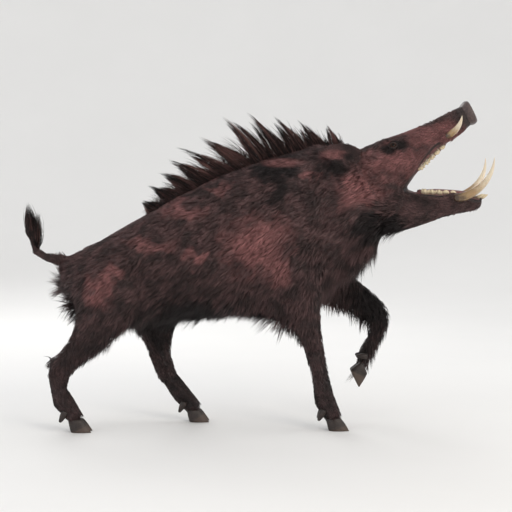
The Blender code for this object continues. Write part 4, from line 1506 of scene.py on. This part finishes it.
@dataclass
class Coat:
    """The short coat over the whole skin, in pieces."""

    skin: Skin
    seed: int = 1821
    split: float = -0.17  # where the trunk's fore and rear pieces meet
    shortest: float = 0.006
    growth: float = 3.2  # length for each metre of depth
    tuft: int = 8
    tuft_pull: float = 0.62
    triangles: np.ndarray = field(init=False)
    sizes: np.ndarray = field(init=False)
    centres: np.ndarray = field(init=False)
    names: np.ndarray = field(init=False)

    def areas(self) -> list[CoatArea]:
        """The pieces of the coat."""
        rump, nape, nose = Vector((-0.70, 0, 0.48)), Vector((0.30, 0, 0.80)), middle("nose_disc")
        made = []
        for side in Side:
            word = side.word
            face = ("head", "lower_jaw", f"ear_{word}")
            fore, rear = (self.split, 9.0), (-9.0, self.split)
            made += [
                CoatArea(f"coat_head_{word}", face, 18_500, OCCIPUT, nose, side),
                CoatArea(f"coat_neck_{word}", ("neck",), 9_000, rump, nape, side),
                CoatArea(f"coat_fore_{word}", ("trunk",), 13_500, rump, nape, side, fore),
                CoatArea(f"coat_rear_{word}", ("trunk",), 12_500, rump, nape, side, rear),
            ]
        for leg in LEGS:
            nodes = (f"{leg}_upper", f"{leg}_lower")
            top = middle(nodes[0]) * 2 - middle(nodes[1])
            made.append(CoatArea(f"coat_{leg}", nodes, 7_000, top, middle(f"{leg}_toe_left")))
        made.append(CoatArea("coat_tail", ("tail",), 1_500, rump, middle("tail_tuft")))
        return made

    def build(self) -> None:
        """Builds every piece of the coat."""
        mesh = self.skin.obj.data
        mesh.calc_loop_triangles()
        self.triangles = np.empty((len(mesh.loop_triangles), 3), np.int32)
        mesh.loop_triangles.foreach_get("vertices", self.triangles.ravel())
        corners = self.skin.points[self.triangles]
        cross = np.cross(corners[:, 1] - corners[:, 0], corners[:, 2] - corners[:, 0])
        self.sizes = np.linalg.norm(cross, axis=1) / 2
        self.centres = corners.mean(axis=1)
        self.names = self.skin.names[self.skin.labels[self.triangles[:, 0]]]
        for number, area in enumerate(self.areas()):
            self._grow(area, np.random.default_rng(self.seed + number))

    def _length(self, depth: np.ndarray) -> np.ndarray:
        """The mean length of hair over skin with a coat this deep."""
        return self.shortest + self.growth * depth

    def _scattered(self, area: CoatArea, dice: np.random.Generator) -> tuple[np.ndarray, np.ndarray]:
        """Picks where an area's locks grow, closest together where the hair is short.

        Args:
            area: the piece of the coat.
            dice: its random numbers.

        Returns:
            The corners of each lock's triangle, and its share of each corner.
        """
        skin = self.skin
        chosen = np.isin(self.names, area.nodes)
        chosen &= (self.centres[:, 0] > area.ahead[0]) & (self.centres[:, 0] <= area.ahead[1])
        if area.side is not None:
            chosen &= self.centres[:, 1] * area.side.value > 0
        furred = 1 - skin.bare[self.triangles].max(axis=1)
        length = self._length(skin.depth[self.triangles].mean(axis=1))
        total = np.cumsum(self.sizes * chosen * furred / length)
        ticks = (np.arange(area.locks) + dice.random(area.locks)) / area.locks * total[-1]
        one, two = np.sqrt(dice.random(area.locks)), dice.random(area.locks)
        shares = np.stack([1 - one, one * (1 - two), one * two], axis=1)
        return self.triangles[np.searchsorted(total, ticks)], shares

    def _grow(self, area: CoatArea, dice: np.random.Generator) -> None:
        """Grows the locks of one area."""
        skin, count = self.skin, area.locks
        corner, shares = self._scattered(area, dice)

        def here(values: np.ndarray) -> np.ndarray:
            """The skin's values at the roots."""
            return (values[corner] * (shares if values.ndim == 1 else shares[..., None])).sum(axis=1)

        roots, normals, headings = here(skin.points), unit(here(skin.normals)), unit(here(skin.flow))
        deep = here(skin.depth)
        hair = deep + here(skin.fringe)
        swing = 0.20 * ripple(roots, 0.16, 3) + dice.normal(0, 0.15, count)
        across = np.cross(normals, headings)
        headings = unit(headings * np.cos(swing)[:, None] + across * np.sin(swing)[:, None])
        hanging = eased(-normals[:, 2], 0.05, 0.75) * eased(deep, 0.0050, 0.0085)
        lengths = self._length(hair) * dice.uniform(0.65, 1.30, count)
        lengths *= 1 + hanging * (0.85 + 0.45 * ripple(roots, 0.07, 21))
        lifts = np.clip(deep / lengths, 0.17, 0.5) * dice.uniform(0.6, 1.4, count)
        tones = 0.5 + 0.22 * ripple(roots, 0.035, 9) + dice.normal(0, 0.20, count)
        locks = LyingLocks(
            roots=roots,
            normals=normals,
            headings=headings,
            lengths=lengths,
            widths=(0.0012 + 0.12 * hair) * dice.uniform(0.6, 1.4, count),
            lifts=lifts,
            droops=hanging * dice.uniform(0.3, 1.0, count),
            tones=np.clip(tones, 0, 1),
            spots=area.unwrapped(roots),
        )
        lines = locks.gathered(locks.bent(3), self.tuft, self.tuft_pull)
        place_piece(shown(area.name, locks.mesh(area.name, lines), Bristle()))


# ---------------------------------------------------------------- mane and tail
@dataclass(frozen=True)
class Clumps:
    """What sets the crest's clumps apart, for each spike and clump."""

    root_shift: np.ndarray
    tip_shift: np.ndarray
    tallness: np.ndarray
    aside: np.ndarray
    shade: np.ndarray


@dataclass
class Mane:
    """The crest: a dense comb of long bristles, gathered into ragged spikes that lean back."""

    skin: Skin
    spikes: int = 11
    clumps: int = 5
    bristles: int = 5_350
    comb_share: float = 0.46
    height: float = 0.165
    lean: float = 0.66
    width: float = 0.0030
    front: float = 0.300
    rear: float = -0.372
    seed: int = 77
    heights: tuple[float, ...] = (0.34, 0.46, 0.64, 0.84, 0.98, 1, 1, 0.96, 0.88, 0.76, 0.60, 0.42, 0.20)
    slope_places: tuple[float, ...] = (-0.40, -0.06, 0.02, 0.22, 0.30)
    slopes: tuple[float, ...] = (0.52, 0.50, 0.16, 0.0, -0.30)

    def build(self) -> None:
        """Builds the mane as one piece that stands for the CAD mane."""
        dice = np.random.default_rng(self.seed)
        crown = BVHTree.FromObject(self.skin.obj, bpy.context.evaluated_depsgraph_get())
        count, length = self.bristles, self.front - self.rear
        spacing = length / self.spikes
        spike = dice.integers(0, self.spikes, count)
        clump = dice.integers(0, self.clumps, count)
        comb = dice.random(count) < self.comb_share
        clumps = self._clumps(dice)
        mine = (spike, clump)
        share = (spike + 0.5) / self.spikes
        offset = clumps.root_shift[mine] + dice.normal(0, 0.11, count)
        offset = np.where(spike == 0, np.clip(offset, -0.35, 0.9), offset)
        x = self.front - share * length + offset * spacing
        x = np.where(comb, self.front - dice.random(count) * length, x)
        y = dice.normal(0, 1, count) * np.where(comb, 0.020, 0.012)
        hits = [self._drop(crown, a, b) for a, b in zip(x, y)]
        roots, normals = (np.array([hit[i] for hit in hits]) for i in (0, 1))
        centre = np.where(comb, x, self.front - share * length)
        level = (self.front - centre) / length * (len(self.heights) - 1)
        tall = np.interp(level, range(len(self.heights)), self.heights) * self.height + 0.012
        inner = 0.30 + 0.70 * bell(y, 0, 0.026)
        tall *= np.where(comb, dice.uniform(0.42, 0.86, count) * inner, clumps.tallness[mine])
        feet = np.stack([centre, np.zeros(count), np.interp(centre, *self._profile(crown))], axis=1)
        slope = np.interp(centre, self.slope_places, self.slopes)
        slope = slope + np.where(comb, dice.normal(0, 0.12, count), 0)
        back = np.stack([-np.cos(slope), np.zeros(count), -np.sin(slope)], axis=1)
        up = np.stack([-np.sin(slope), np.zeros(count), np.cos(slope)], axis=1)
        tip = feet + up * tall[:, None] + back * (tall * self.lean)[:, None]
        tip[:, 0] += np.where(comb, 0, clumps.tip_shift[mine] * spacing)
        tip[:, 1] += np.where(comb, y * 1.2, clumps.aside[mine])
        reach = 1 - 0.50 * np.abs(dice.normal(0, 0.5, count)).clip(0, 1)
        tip = roots + (tip - roots) * reach[:, None]
        tip += dice.normal(0, 0.0035, (count, 3)) * (1.5 - reach)[:, None]
        knee = roots + (tip - roots) * 0.5 + up * (tall * 0.12 * reach)[:, None]
        heading = unit(tip - roots)
        tones = np.where(comb, 0.45, clumps.shade[mine]) + dice.normal(0, 0.18, count)
        along_crest = (x - x.min()) / (x.max() - x.min())
        locks = Locks(
            roots=roots,
            normals=unit(np.cross(heading, np.array([[0, 1.0, 0]]))),
            headings=heading,
            widths=self.width * dice.uniform(0.7, 1.3, count),
            tones=np.clip(tones, 0, 1),
            spots=np.stack([0.5 + y / 0.13, along_crest], axis=1).clip(0.01, 0.99),
        )
        mesh = locks.mesh("mane_bristles", curve_through(roots - normals * 0.004, knee, tip, 6))
        place_piece(shown("mane_bristles", mesh, ManeBristle()), ("mane",))

    def _clumps(self, dice: np.random.Generator) -> Clumps:
        """Gives each clump its own root, lean, height and tone; the middle one is the tallest."""
        shape = (self.spikes, self.clumps)
        root_shift = np.linspace(-0.42, 0.42, self.clumps) + dice.normal(0, 0.05, shape)
        tip_shift = 0.34 * root_shift + dice.normal(0, 0.07, shape)
        tallness = dice.uniform(0.70, 0.96, shape)
        tallness[:, self.clumps // 2] = dice.uniform(0.94, 1.05, self.spikes)
        aside = dice.normal(0, 0.007, shape)
        return Clumps(root_shift, tip_shift, tallness, aside, dice.uniform(0.05, 0.95, shape))

    @staticmethod
    def _drop(crown: BVHTree, x: float, y: float) -> tuple:
        """The skin's highest point at a place, with its normal."""
        return crown.ray_cast(Vector((x, y, 1.3)), Vector((0, 0, -1)))

    def _profile(self, crown: BVHTree) -> tuple[np.ndarray, np.ndarray]:
        """The skin's top line, as places along X and heights."""
        places = np.linspace(self.rear - 0.06, self.front + 0.06, 60)
        return places, np.array([self._drop(crown, x, 0)[0].z for x in places])


@dataclass
class TailTuft:
    """The brush at the end of the tail, parted into two points."""

    bristles: int = 900
    width: float = 0.0026
    radius: float = 0.006
    bulge: float = 0.014
    seed: int = 9

    def build(self) -> None:
        """Builds the tuft as one piece that stands for the CAD tuft."""
        dice = np.random.default_rng(self.seed)
        low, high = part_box("tail_tuft")
        fork = np.where(dice.random(self.bristles) < 0.6, 0.0, 1.0)
        turn = dice.uniform(0, 2 * math.pi, self.bristles)
        down = dice.random(self.bristles)
        out, side = np.cos(turn), np.sin(turn)
        offsets = (self.radius * out + 0.022 * down, self.radius * side, 0.004 - 0.040 * down)
        roots = np.array(Vector((low.x + 0.021, 0, low.z))) + np.stack(offsets, axis=1)
        ends = (low.x + 0.010 + 0.036 * fork, 0.012 * side, high.z - 0.034 * fork)
        end = np.stack(ends, axis=1)
        end += dice.normal(0, 0.005, end.shape)
        end = roots + (end - roots) * dice.uniform(0.40, 1.0, self.bristles)[:, None]
        knee = (roots + end) / 2 + np.stack([out, side, 0 * turn], axis=1) * self.bulge
        heading = unit(end - roots)
        locks = Locks(
            roots=roots,
            normals=unit(np.cross(heading, np.array([[0, 1.0, 0.2]]))),
            headings=heading,
            widths=self.width * dice.uniform(0.7, 1.3, self.bristles),
            tones=np.clip(dice.normal(0.3, 0.2, self.bristles), 0, 1),
            spots=np.stack([turn / (2 * math.pi), down], axis=1).clip(0.01, 0.99),
        )
        mesh = locks.mesh("tail_tuft_bristles", curve_through(roots, knee, end, 5))
        place_piece(shown("tail_tuft_bristles", mesh, ManeBristle()), ("tail_tuft",))


# ---------------------------------------------------------------- head pieces
@dataclass(frozen=True)
class TuskShape:
    """A left tusk's curve in a jaw's frame: where it starts, how it turns, and its size."""

    jaw: Matrix
    root: tuple[float, float, float]
    start: float
    bend: float
    splay: float
    length: float
    radius: float
    buried: float = 0.020


@dataclass
class Tusks:
    """The long lower tusks and the short upper ones that whet them."""

    rings: int = 44
    sides: int = 28
    lower: TuskShape = TuskShape(
        LOWER_JAW, (0.228, 0.038, 0.004), math.radians(14), math.radians(86), 0.26, 0.170, 0.0130
    )
    upper: TuskShape = TuskShape(
        HEAD, (0.330, 0.046, -0.020), math.radians(-10), math.radians(70), 0.55, 0.060, 0.0105
    )

    def build(self) -> None:
        """Builds the four tusks."""
        for side in Side:
            for level, shape in (("lower", self.lower), ("upper", self.upper)):
                node = f"tusk_{level}_{side.word}"
                form = lofted(self._outlines(shape, side.value))
                tusk = from_bmesh(node + "_ivory", form, Ivory(), shape.jaw)
                place_piece(tusk, (node,))

    def _outlines(self, shape: TuskShape, flip: int) -> list[list[Vector]]:
        """The rings of one tusk, with three soft corners and a shallow groove down its inner face.

        Args:
            shape: its curve and size.
            flip: the sign of Y on its side.

        Returns:
            The rings, from the root to the tip.
        """
        along, across, up = shape.root
        place, heading = Vector((along, flip * across, up)), shape.start
        last = self.rings - 1
        step = (shape.length + shape.buried) / last
        outlines = []
        for number in range(self.rings):
            size = shape.radius * (1 - (number / last) ** 2.1) + 0.0006
            forward = Vector((math.cos(heading), flip * shape.splay, math.sin(heading)))
            ahead = forward.normalized()
            sideways = square_to(Vector((0, 1, 0)), ahead)
            square = ahead.cross(sideways)
            outline = []
            for turn in turns(self.sides):
                groove = 0.05 * math.exp(-9 * (turn - math.pi) ** 2)
                reach = size * (1 + 0.07 * math.cos(3 * turn + 0.6) - groove)
                spot = sideways * (0.88 * flip * math.cos(turn)) + square * math.sin(turn)
                outline.append(place + spot * reach)
            outlines.append(outline)
            place = place + forward * step
            heading += shape.bend / last
        return outlines


@dataclass
class Teeth:
    """Cheek teeth above and below, and the six lower front teeth."""

    crown: tuple[float, float, float] = (0.0132, 0.0078, 0.0130)
    front: tuple[float, float, float] = (0.0215, 0.0042, 0.0046)
    cheek_teeth: int = 5
    front_teeth: int = 6
    cheek_step: float = 0.0225
    front_step: float = 0.0076
    crown_squareness: float = 4.2
    front_squareness: float = 3

    def build(self) -> None:
        """Builds the rows of teeth."""
        rows = {name: bmesh.new() for name in ("teeth_lower", "teeth_upper", "teeth_front")}
        for row in rows.values():
            row.verts.layers.float.new("along")
            row.verts.layers.float.new("groove")
        for side in Side:
            flip = side.value
            for i in range(self.cheek_teeth):
                ahead = self.cheek_step * i
                low = (0.132 + ahead, flip * (0.0315 - 0.002 * i), 0.0080 + 0.0026 * i)
                high = (0.214 + ahead, flip * (0.0345 - 0.0016 * i), 0.0047 * i - 0.0600)
                size = 1.06 - 0.06 * i
                self._cheek_tooth(rows["teeth_lower"], LOWER_JAW @ Matrix.Translation(low), 1, size)
                self._cheek_tooth(rows["teeth_upper"], HEAD @ Matrix.Translation(high), -1, size)
        for i in range(self.front_teeth):
            off = i - (self.front_teeth - 1) / 2
            place = Matrix.Translation((0.318 - 0.0022 * off * off, off * self.front_step, 0.0185))
            lean = Matrix.Rotation(-0.50, 4, "Y") @ Matrix.Rotation(0.05 * off, 4, "Z")
            self._front_tooth(rows["teeth_front"], LOWER_JAW @ place @ lean)
        for name, row in rows.items():
            bmesh.ops.recalc_face_normals(row, faces=row.faces)
            place_piece(from_bmesh(name, row, Enamel()))

    @staticmethod
    def _squared(vertex: bmesh.types.BMVert, power: float) -> tuple[float, float, float]:
        """A round form's point, moved out towards a block of this squareness."""
        x, y, z = vertex.co
        reach = sum(abs(c) ** power for c in (x, y, z)) ** (1 / power)
        return x / reach, y / reach, z / reach

    def _cheek_tooth(self, row: bmesh.types.BMesh, place: Matrix, up: int, size: float) -> None:
        """Adds one crown: two lobes with paired cusps, drawn in at the gum.

        Args:
            row: the row that it joins.
            place: the middle of the crown.
            up: 1 for a lower tooth and -1 for an upper one.
            size: its share of the largest tooth's size.
        """
        along, groove = row.verts.layers.float["along"], row.verts.layers.float["groove"]
        made = bmesh.ops.create_icosphere(row, subdivisions=4, radius=1.0)["verts"]
        long, wide, tall = (extent * size for extent in self.crown)
        double = size > 0.9
        lobes = 2 if double else 1
        for vertex in made:
            x, y, z = self._squared(vertex, self.crown_squareness)
            wave = (x * lobes + (lobes - 1)) * math.pi / 2
            ridge = abs(math.sin(wave + (not double) * math.pi / 2))
            between = (1 - ridge) ** 2 * double
            middle_line = math.exp(-((y / 0.22) ** 2))
            top = max(0.0, z)
            point = top**3 * (0.42 * (1 - ridge) + 0.16 * middle_line)
            vertex[along] = 0.5 + 0.5 * z
            vertex[groove] = min(1.0, 0.75 * between * max(0.0, 0.4 + z) + 0.7 * point)
            neck = 1 - 0.14 * between - 0.20 * max(0.0, 0.2 - z) ** 2
            ahead = x * long * 0.92 * (1 - 0.10 * top)
            vertex.co = Vector((ahead, y * wide * neck, (z - point) * tall * up))
        bmesh.ops.transform(row, matrix=place, verts=made)

    def _front_tooth(self, row: bmesh.types.BMesh, place: Matrix) -> None:
        """Adds one long chisel-ended front tooth.

        Args:
            row: the row that it joins.
            place: its middle, with X along it.
        """
        along = row.verts.layers.float["along"]
        made = bmesh.ops.create_icosphere(row, subdivisions=4, radius=1.0)["verts"]
        long, wide, thick = self.front
        for vertex in made:
            x, y, z = self._squared(vertex, self.front_squareness)
            chisel = 1 - 0.62 * max(0.0, x) ** 2
            vertex[along] = 0.5 + 0.5 * x
            rise = 0.0030 * x * x
            vertex.co = Vector((x * long, y * wide * (1 + 0.14 * x), z * thick * chisel + rise))
        bmesh.ops.transform(row, matrix=place, verts=made)


@dataclass
class Eyes:
    """The two eyeballs, each with a clear bulge over the iris."""

    skin: Skin
    bulge: float = 0.0008

    def build(self) -> None:
        """Builds both eyes."""
        for side in Side:
            ball = bmesh.new()
            turn = ball.verts.layers.float.new("turn")
            bmesh.ops.create_uvsphere(ball, u_segments=40, v_segments=32, radius=EYE_RADIUS)
            for vertex in ball.verts:
                angle = vertex.co.angle(Vector((0, 0, 1)))
                vertex[turn] = angle / math.pi * 2
                vertex.co *= 1 + self.bulge / EYE_RADIUS * math.exp(-((angle / 0.55) ** 4))
            node = f"eye_{side.word}"
            eye = from_bmesh(node + "_ball", ball, EyeGlass(), self.skin.eye_frame(side))
            place_piece(eye, (node,))


@dataclass
class SnoutDisc:
    """The gristle disc at the end of the snout, with nostrils and a middle groove."""

    start: float = 0.4205
    depth: float = 0.0245
    width: float = 0.0430
    height: float = 0.0395
    middle_z: float = 0.004
    nostril_y: float = 0.0170
    squareness: float = 2.4
    sides: int = 96
    face_rings: int = 36
    # the rings from the back edge to the front rim: how far forward and how large, as shares
    forward: tuple[float, ...] = (-0.90, -0.40, -0.05, 0.20, 0.42, 0.60, 0.76, 0.88, 0.96)
    sizes: tuple[float, ...] = (0.55, 0.72, 0.86, 0.93, 0.98, 1.0, 0.995, 0.965, 0.935)

    def build(self) -> None:
        """Builds the disc from rings: back, rim, then in over the face."""
        profile = list(zip(self.forward, self.sizes))
        for share in np.linspace(0.02, 0.985, self.face_rings):
            profile.append((1.0 - 0.10 * math.sin(math.pi * share**0.8), 0.915 * (1 - share)))
        ring = turns(self.sides)
        form = lofted([[self._spot(out, size, turn) for turn in ring] for out, size in profile])
        hollow = form.verts.layers.float.new("hollow")
        for vertex in form.verts:
            self._carve(vertex, hollow)
        place_piece(from_bmesh("snout_disc", form, Gristle(), HEAD), ("nose_disc",))

    def _spot(self, out: float, size: float, turn: float) -> Vector:
        """A point of the disc, at this share of its depth and size and this turn."""
        across, up = math.cos(turn), math.sin(turn)
        power = self.squareness
        flat = (abs(across) ** power + abs(up) ** power) ** (-1 / power)
        flat *= 1 - 0.035 * math.exp(-(((turn - math.pi / 2) / 0.28) ** 2))
        flat *= 1 + 0.010 * math.cos(5 * turn + 0.8) + 0.008 * math.cos(9 * turn)
        across, up = across * flat * size, up * flat * size
        ahead = self.start + self.depth * out + 0.003 * up
        return Vector((ahead, across * self.width, self.middle_z + up * self.height))

    def _carve(self, vertex: bmesh.types.BMVert, hollow: bmesh.types.BMLayerItem) -> None:
        """Sinks a nostril or the groove at one point of the face, and raises the rims.

        Args:
            vertex: the point.
            hollow: the layer that says how deep in a nostril it is, where the finish paints shade.
        """
        x, y, z = vertex.co
        if x < self.start + self.depth * 0.8:
            return
        aside = abs(y) - self.nostril_y
        slant = z - 0.0050 + 0.30 * aside
        reach = math.hypot(aside / 0.0088, slant / 0.0115)
        pit = float(1 - eased(reach, 0.50, 1.05))
        rim = math.exp(-(((reach - 1.38) / 0.30) ** 2))
        groove = math.exp(-((y / 0.0026) ** 2)) * float(eased(-z, -0.014, 0.002))
        wrinkle = 0.0005 * math.sin(z * 900 + 5 * math.cos(abs(y) * 160))
        vertex.co.x += 0.0022 * rim - 0.0145 * pit - 0.0020 * groove + wrinkle * (1 - pit)
        vertex[hollow] = pit


@dataclass
class Tongue:
    """The tongue, lying in the lower jaw, with a groove down its middle."""

    sides: int = 32
    steps: int = 44
    # place along the jaw, height, half-width, rise and fall
    rings: tuple[tuple[float, ...], ...] = (
        (0.112, 0.004, 0.016, 0.012, 0.012),
        (0.170, 0.016, 0.020, 0.011, 0.010),
        (0.225, 0.0225, 0.017, 0.009, 0.008),
        (0.270, 0.0260, 0.0135, 0.0065, 0.006),
        (0.292, 0.0270, 0.0095, 0.0042, 0.004),
    )

    def build(self) -> None:
        """Builds the tongue ring by ring."""
        table = np.array(self.rings)
        outlines = []
        for share in np.linspace(0, 1, self.steps):
            place = share * (len(table) - 1)
            x, z, wide, up, down = (np.interp(place, range(len(table)), c) for c in table.T)
            tip = math.sqrt(max(1 - (max(share - 0.84, 0) / 0.165) ** 2, 0.02))
            outline = []
            for turn in turns(self.sides):
                across, rise = math.cos(turn), math.sin(turn)
                groove = 0.0022 * math.exp(-((across / 0.16) ** 2)) * (rise > 0) * tip**2
                reach = up if rise > 0 else down
                outline.append(Vector((x, across * wide * tip, z + rise * reach * tip - groove)))
            outlines.append(outline)
        tongue = from_bmesh("tongue_flesh", lofted(outlines), TongueSkin(), LOWER_JAW)
        place_piece(tongue, ("tongue",))


@dataclass
class Hooves:
    """The toes and dewclaws, as rounded horn with growth rings."""

    voxel: float = 0.0014
    smoothing: int = 90
    sink: float = 0.0008  # how far the softened soles are lowered before they are cut flat

    def build(self) -> None:
        """Builds one piece of horn for each toe and dewclaw."""
        for leg in LEGS:
            knee = middle(f"{leg}_lower")
            for kind in ("toe", "dewclaw"):
                for side in Side:
                    node = f"{leg}_{kind}_{side.word}"
                    self._horn(node, (middle(node) - knee).normalized())

    def _horn(self, node: str, down: Vector) -> None:
        """Builds one piece of horn that stands for a node and grows along down."""
        form = bmesh.new()
        merged_copy(form, node)
        horn = from_bmesh(node + "_horn", form)
        modify(horn, "REMESH", mode="VOXEL", voxel_size=self.voxel, use_smooth_shade=True)
        modify(horn, "SMOOTH", factor=0.5, iterations=self.smoothing)
        settle(horn)
        points, _ = coordinates(horn.data)
        low, high = (np.array(corner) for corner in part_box(node))
        least, most = points.min(axis=0), points.max(axis=0)
        points = low + (points - least) * (high - low) / (most - least)
        points[:, 2] = np.maximum(points[:, 2] - self.sink, low[2])
        move_points(horn.data, points)
        span = points @ np.array(down)
        store(horn.data, "down", span - span.min())
        dress(horn, Horn())
        place_piece(horn, (node,))


# ---------------------------------------------------------------- studio
@dataclass
class Studio:
    """A pale seamless bowl, soft lights and a long lens from the animal's right side."""

    flat: float = 4.0
    sweep: float = 6.5
    sweep_steps: int = 24
    lens: float = 100.0
    distance: float = 4.93
    rise: float = math.radians(3)
    aim: Vector = field(default_factory=lambda: Vector((-0.009, 0.0, 0.596)))

    def build(self) -> None:
        """Sets out the bowl, the sky, the lights and the camera."""
        self._bowl()
        self._sky()
        self._lamp("key", (2.4, -4.0, 2.7), 2.0, 66, "#fff6ea")
        self._lamp("fill", (-3.4, -3.4, 1.3), 2.6, 20, "#eaf1ff")
        self._lamp("rim", (-1.6, 3.8, 2.8), 2.0, 46, "#ffffff")
        self._lamp("front", (4.6, 0.8, 1.6), 2.0, 20, "#ffffff")
        self._camera()

    def _bowl(self) -> None:
        """Spins the bowl's outline, a flat floor and a quarter circle, round the vertical."""
        paper = bmesh.new()
        outline = [Vector((0, 0, 0)), Vector((self.flat, 0, 0))]
        for k in range(1, self.sweep_steps + 1):
            turn = math.pi / 2 * k / self.sweep_steps
            out, up = math.sin(turn), 1 - math.cos(turn)
            outline.append(Vector((self.flat + self.sweep * out, 0, self.sweep * up)))
        points = [paper.verts.new(spot) for spot in outline]
        lines = [paper.edges.new(ends) for ends in zip(points, points[1:])]
        bmesh.ops.spin(
            paper,
            geom=points + lines,
            axis=(0, 0, 1),
            cent=(0, 0, 0),
            angle=2 * math.pi,
            steps=96,
            use_merge=True,
        )
        bmesh.ops.remove_doubles(paper, verts=paper.verts, dist=1e-4)
        bmesh.ops.recalc_face_normals(paper, faces=paper.faces)
        lowest = min(paper.faces, key=lambda face: face.calc_center_median().z)
        if lowest.normal.z < 0:
            bmesh.ops.reverse_faces(paper, faces=paper.faces)
        from_bmesh("studio_bowl", paper, StudioPaper())

    @staticmethod
    def _sky() -> None:
        """Sets an even, pale sky."""
        scene = bpy.context.scene
        scene.world = bpy.data.worlds.new("studio_sky")
        scene.world.use_nodes = True
        sky = scene.world.node_tree.nodes["Background"]
        sky.inputs["Color"].default_value = linear("#f7f8fa")
        sky.inputs["Strength"].default_value = 1.0
        scene.view_settings.view_transform = "Standard"

    def _camera(self) -> None:
        """Sets the camera, a little above level."""
        scene = bpy.context.scene
        camera = bpy.data.objects.new("camera", bpy.data.cameras.new("camera"))
        scene.collection.objects.link(camera)
        camera.data.lens = self.lens
        away = Vector((0, -math.cos(self.rise), math.sin(self.rise)))
        camera.location = self.aim + away * self.distance
        camera.rotation_euler = (-away).to_track_quat("-Z", "Y").to_euler()
        scene.camera = camera

    def _lamp(self, name: str, place: tuple, size: float, watts: float, colour: str) -> None:
        """Adds one soft square lamp that faces the animal."""
        lamp = bpy.data.lights.new(name, "AREA")
        lamp.size, lamp.energy, lamp.color = size, watts, linear(colour)[:3]
        obj = bpy.data.objects.new(name, lamp)
        bpy.context.scene.collection.objects.link(obj)
        obj.location = place
        obj.rotation_euler = (self.aim - Vector(place)).to_track_quat("-Z", "Y").to_euler()


def main() -> None:
    """Builds the animal and the studio round it."""
    logging.basicConfig(level=logging.INFO, format="%(message)s", stream=sys.stdout)
    skin = Skin()
    skin.build()
    Coat(skin).build()
    Mane(skin).build()
    TailTuft().build()
    Tusks().build()
    Teeth().build()
    Eyes(skin).build()
    SnoutDisc().build()
    Tongue().build()
    Hooves().build()
    Studio().build()


if __name__ == "__main__":
    main()
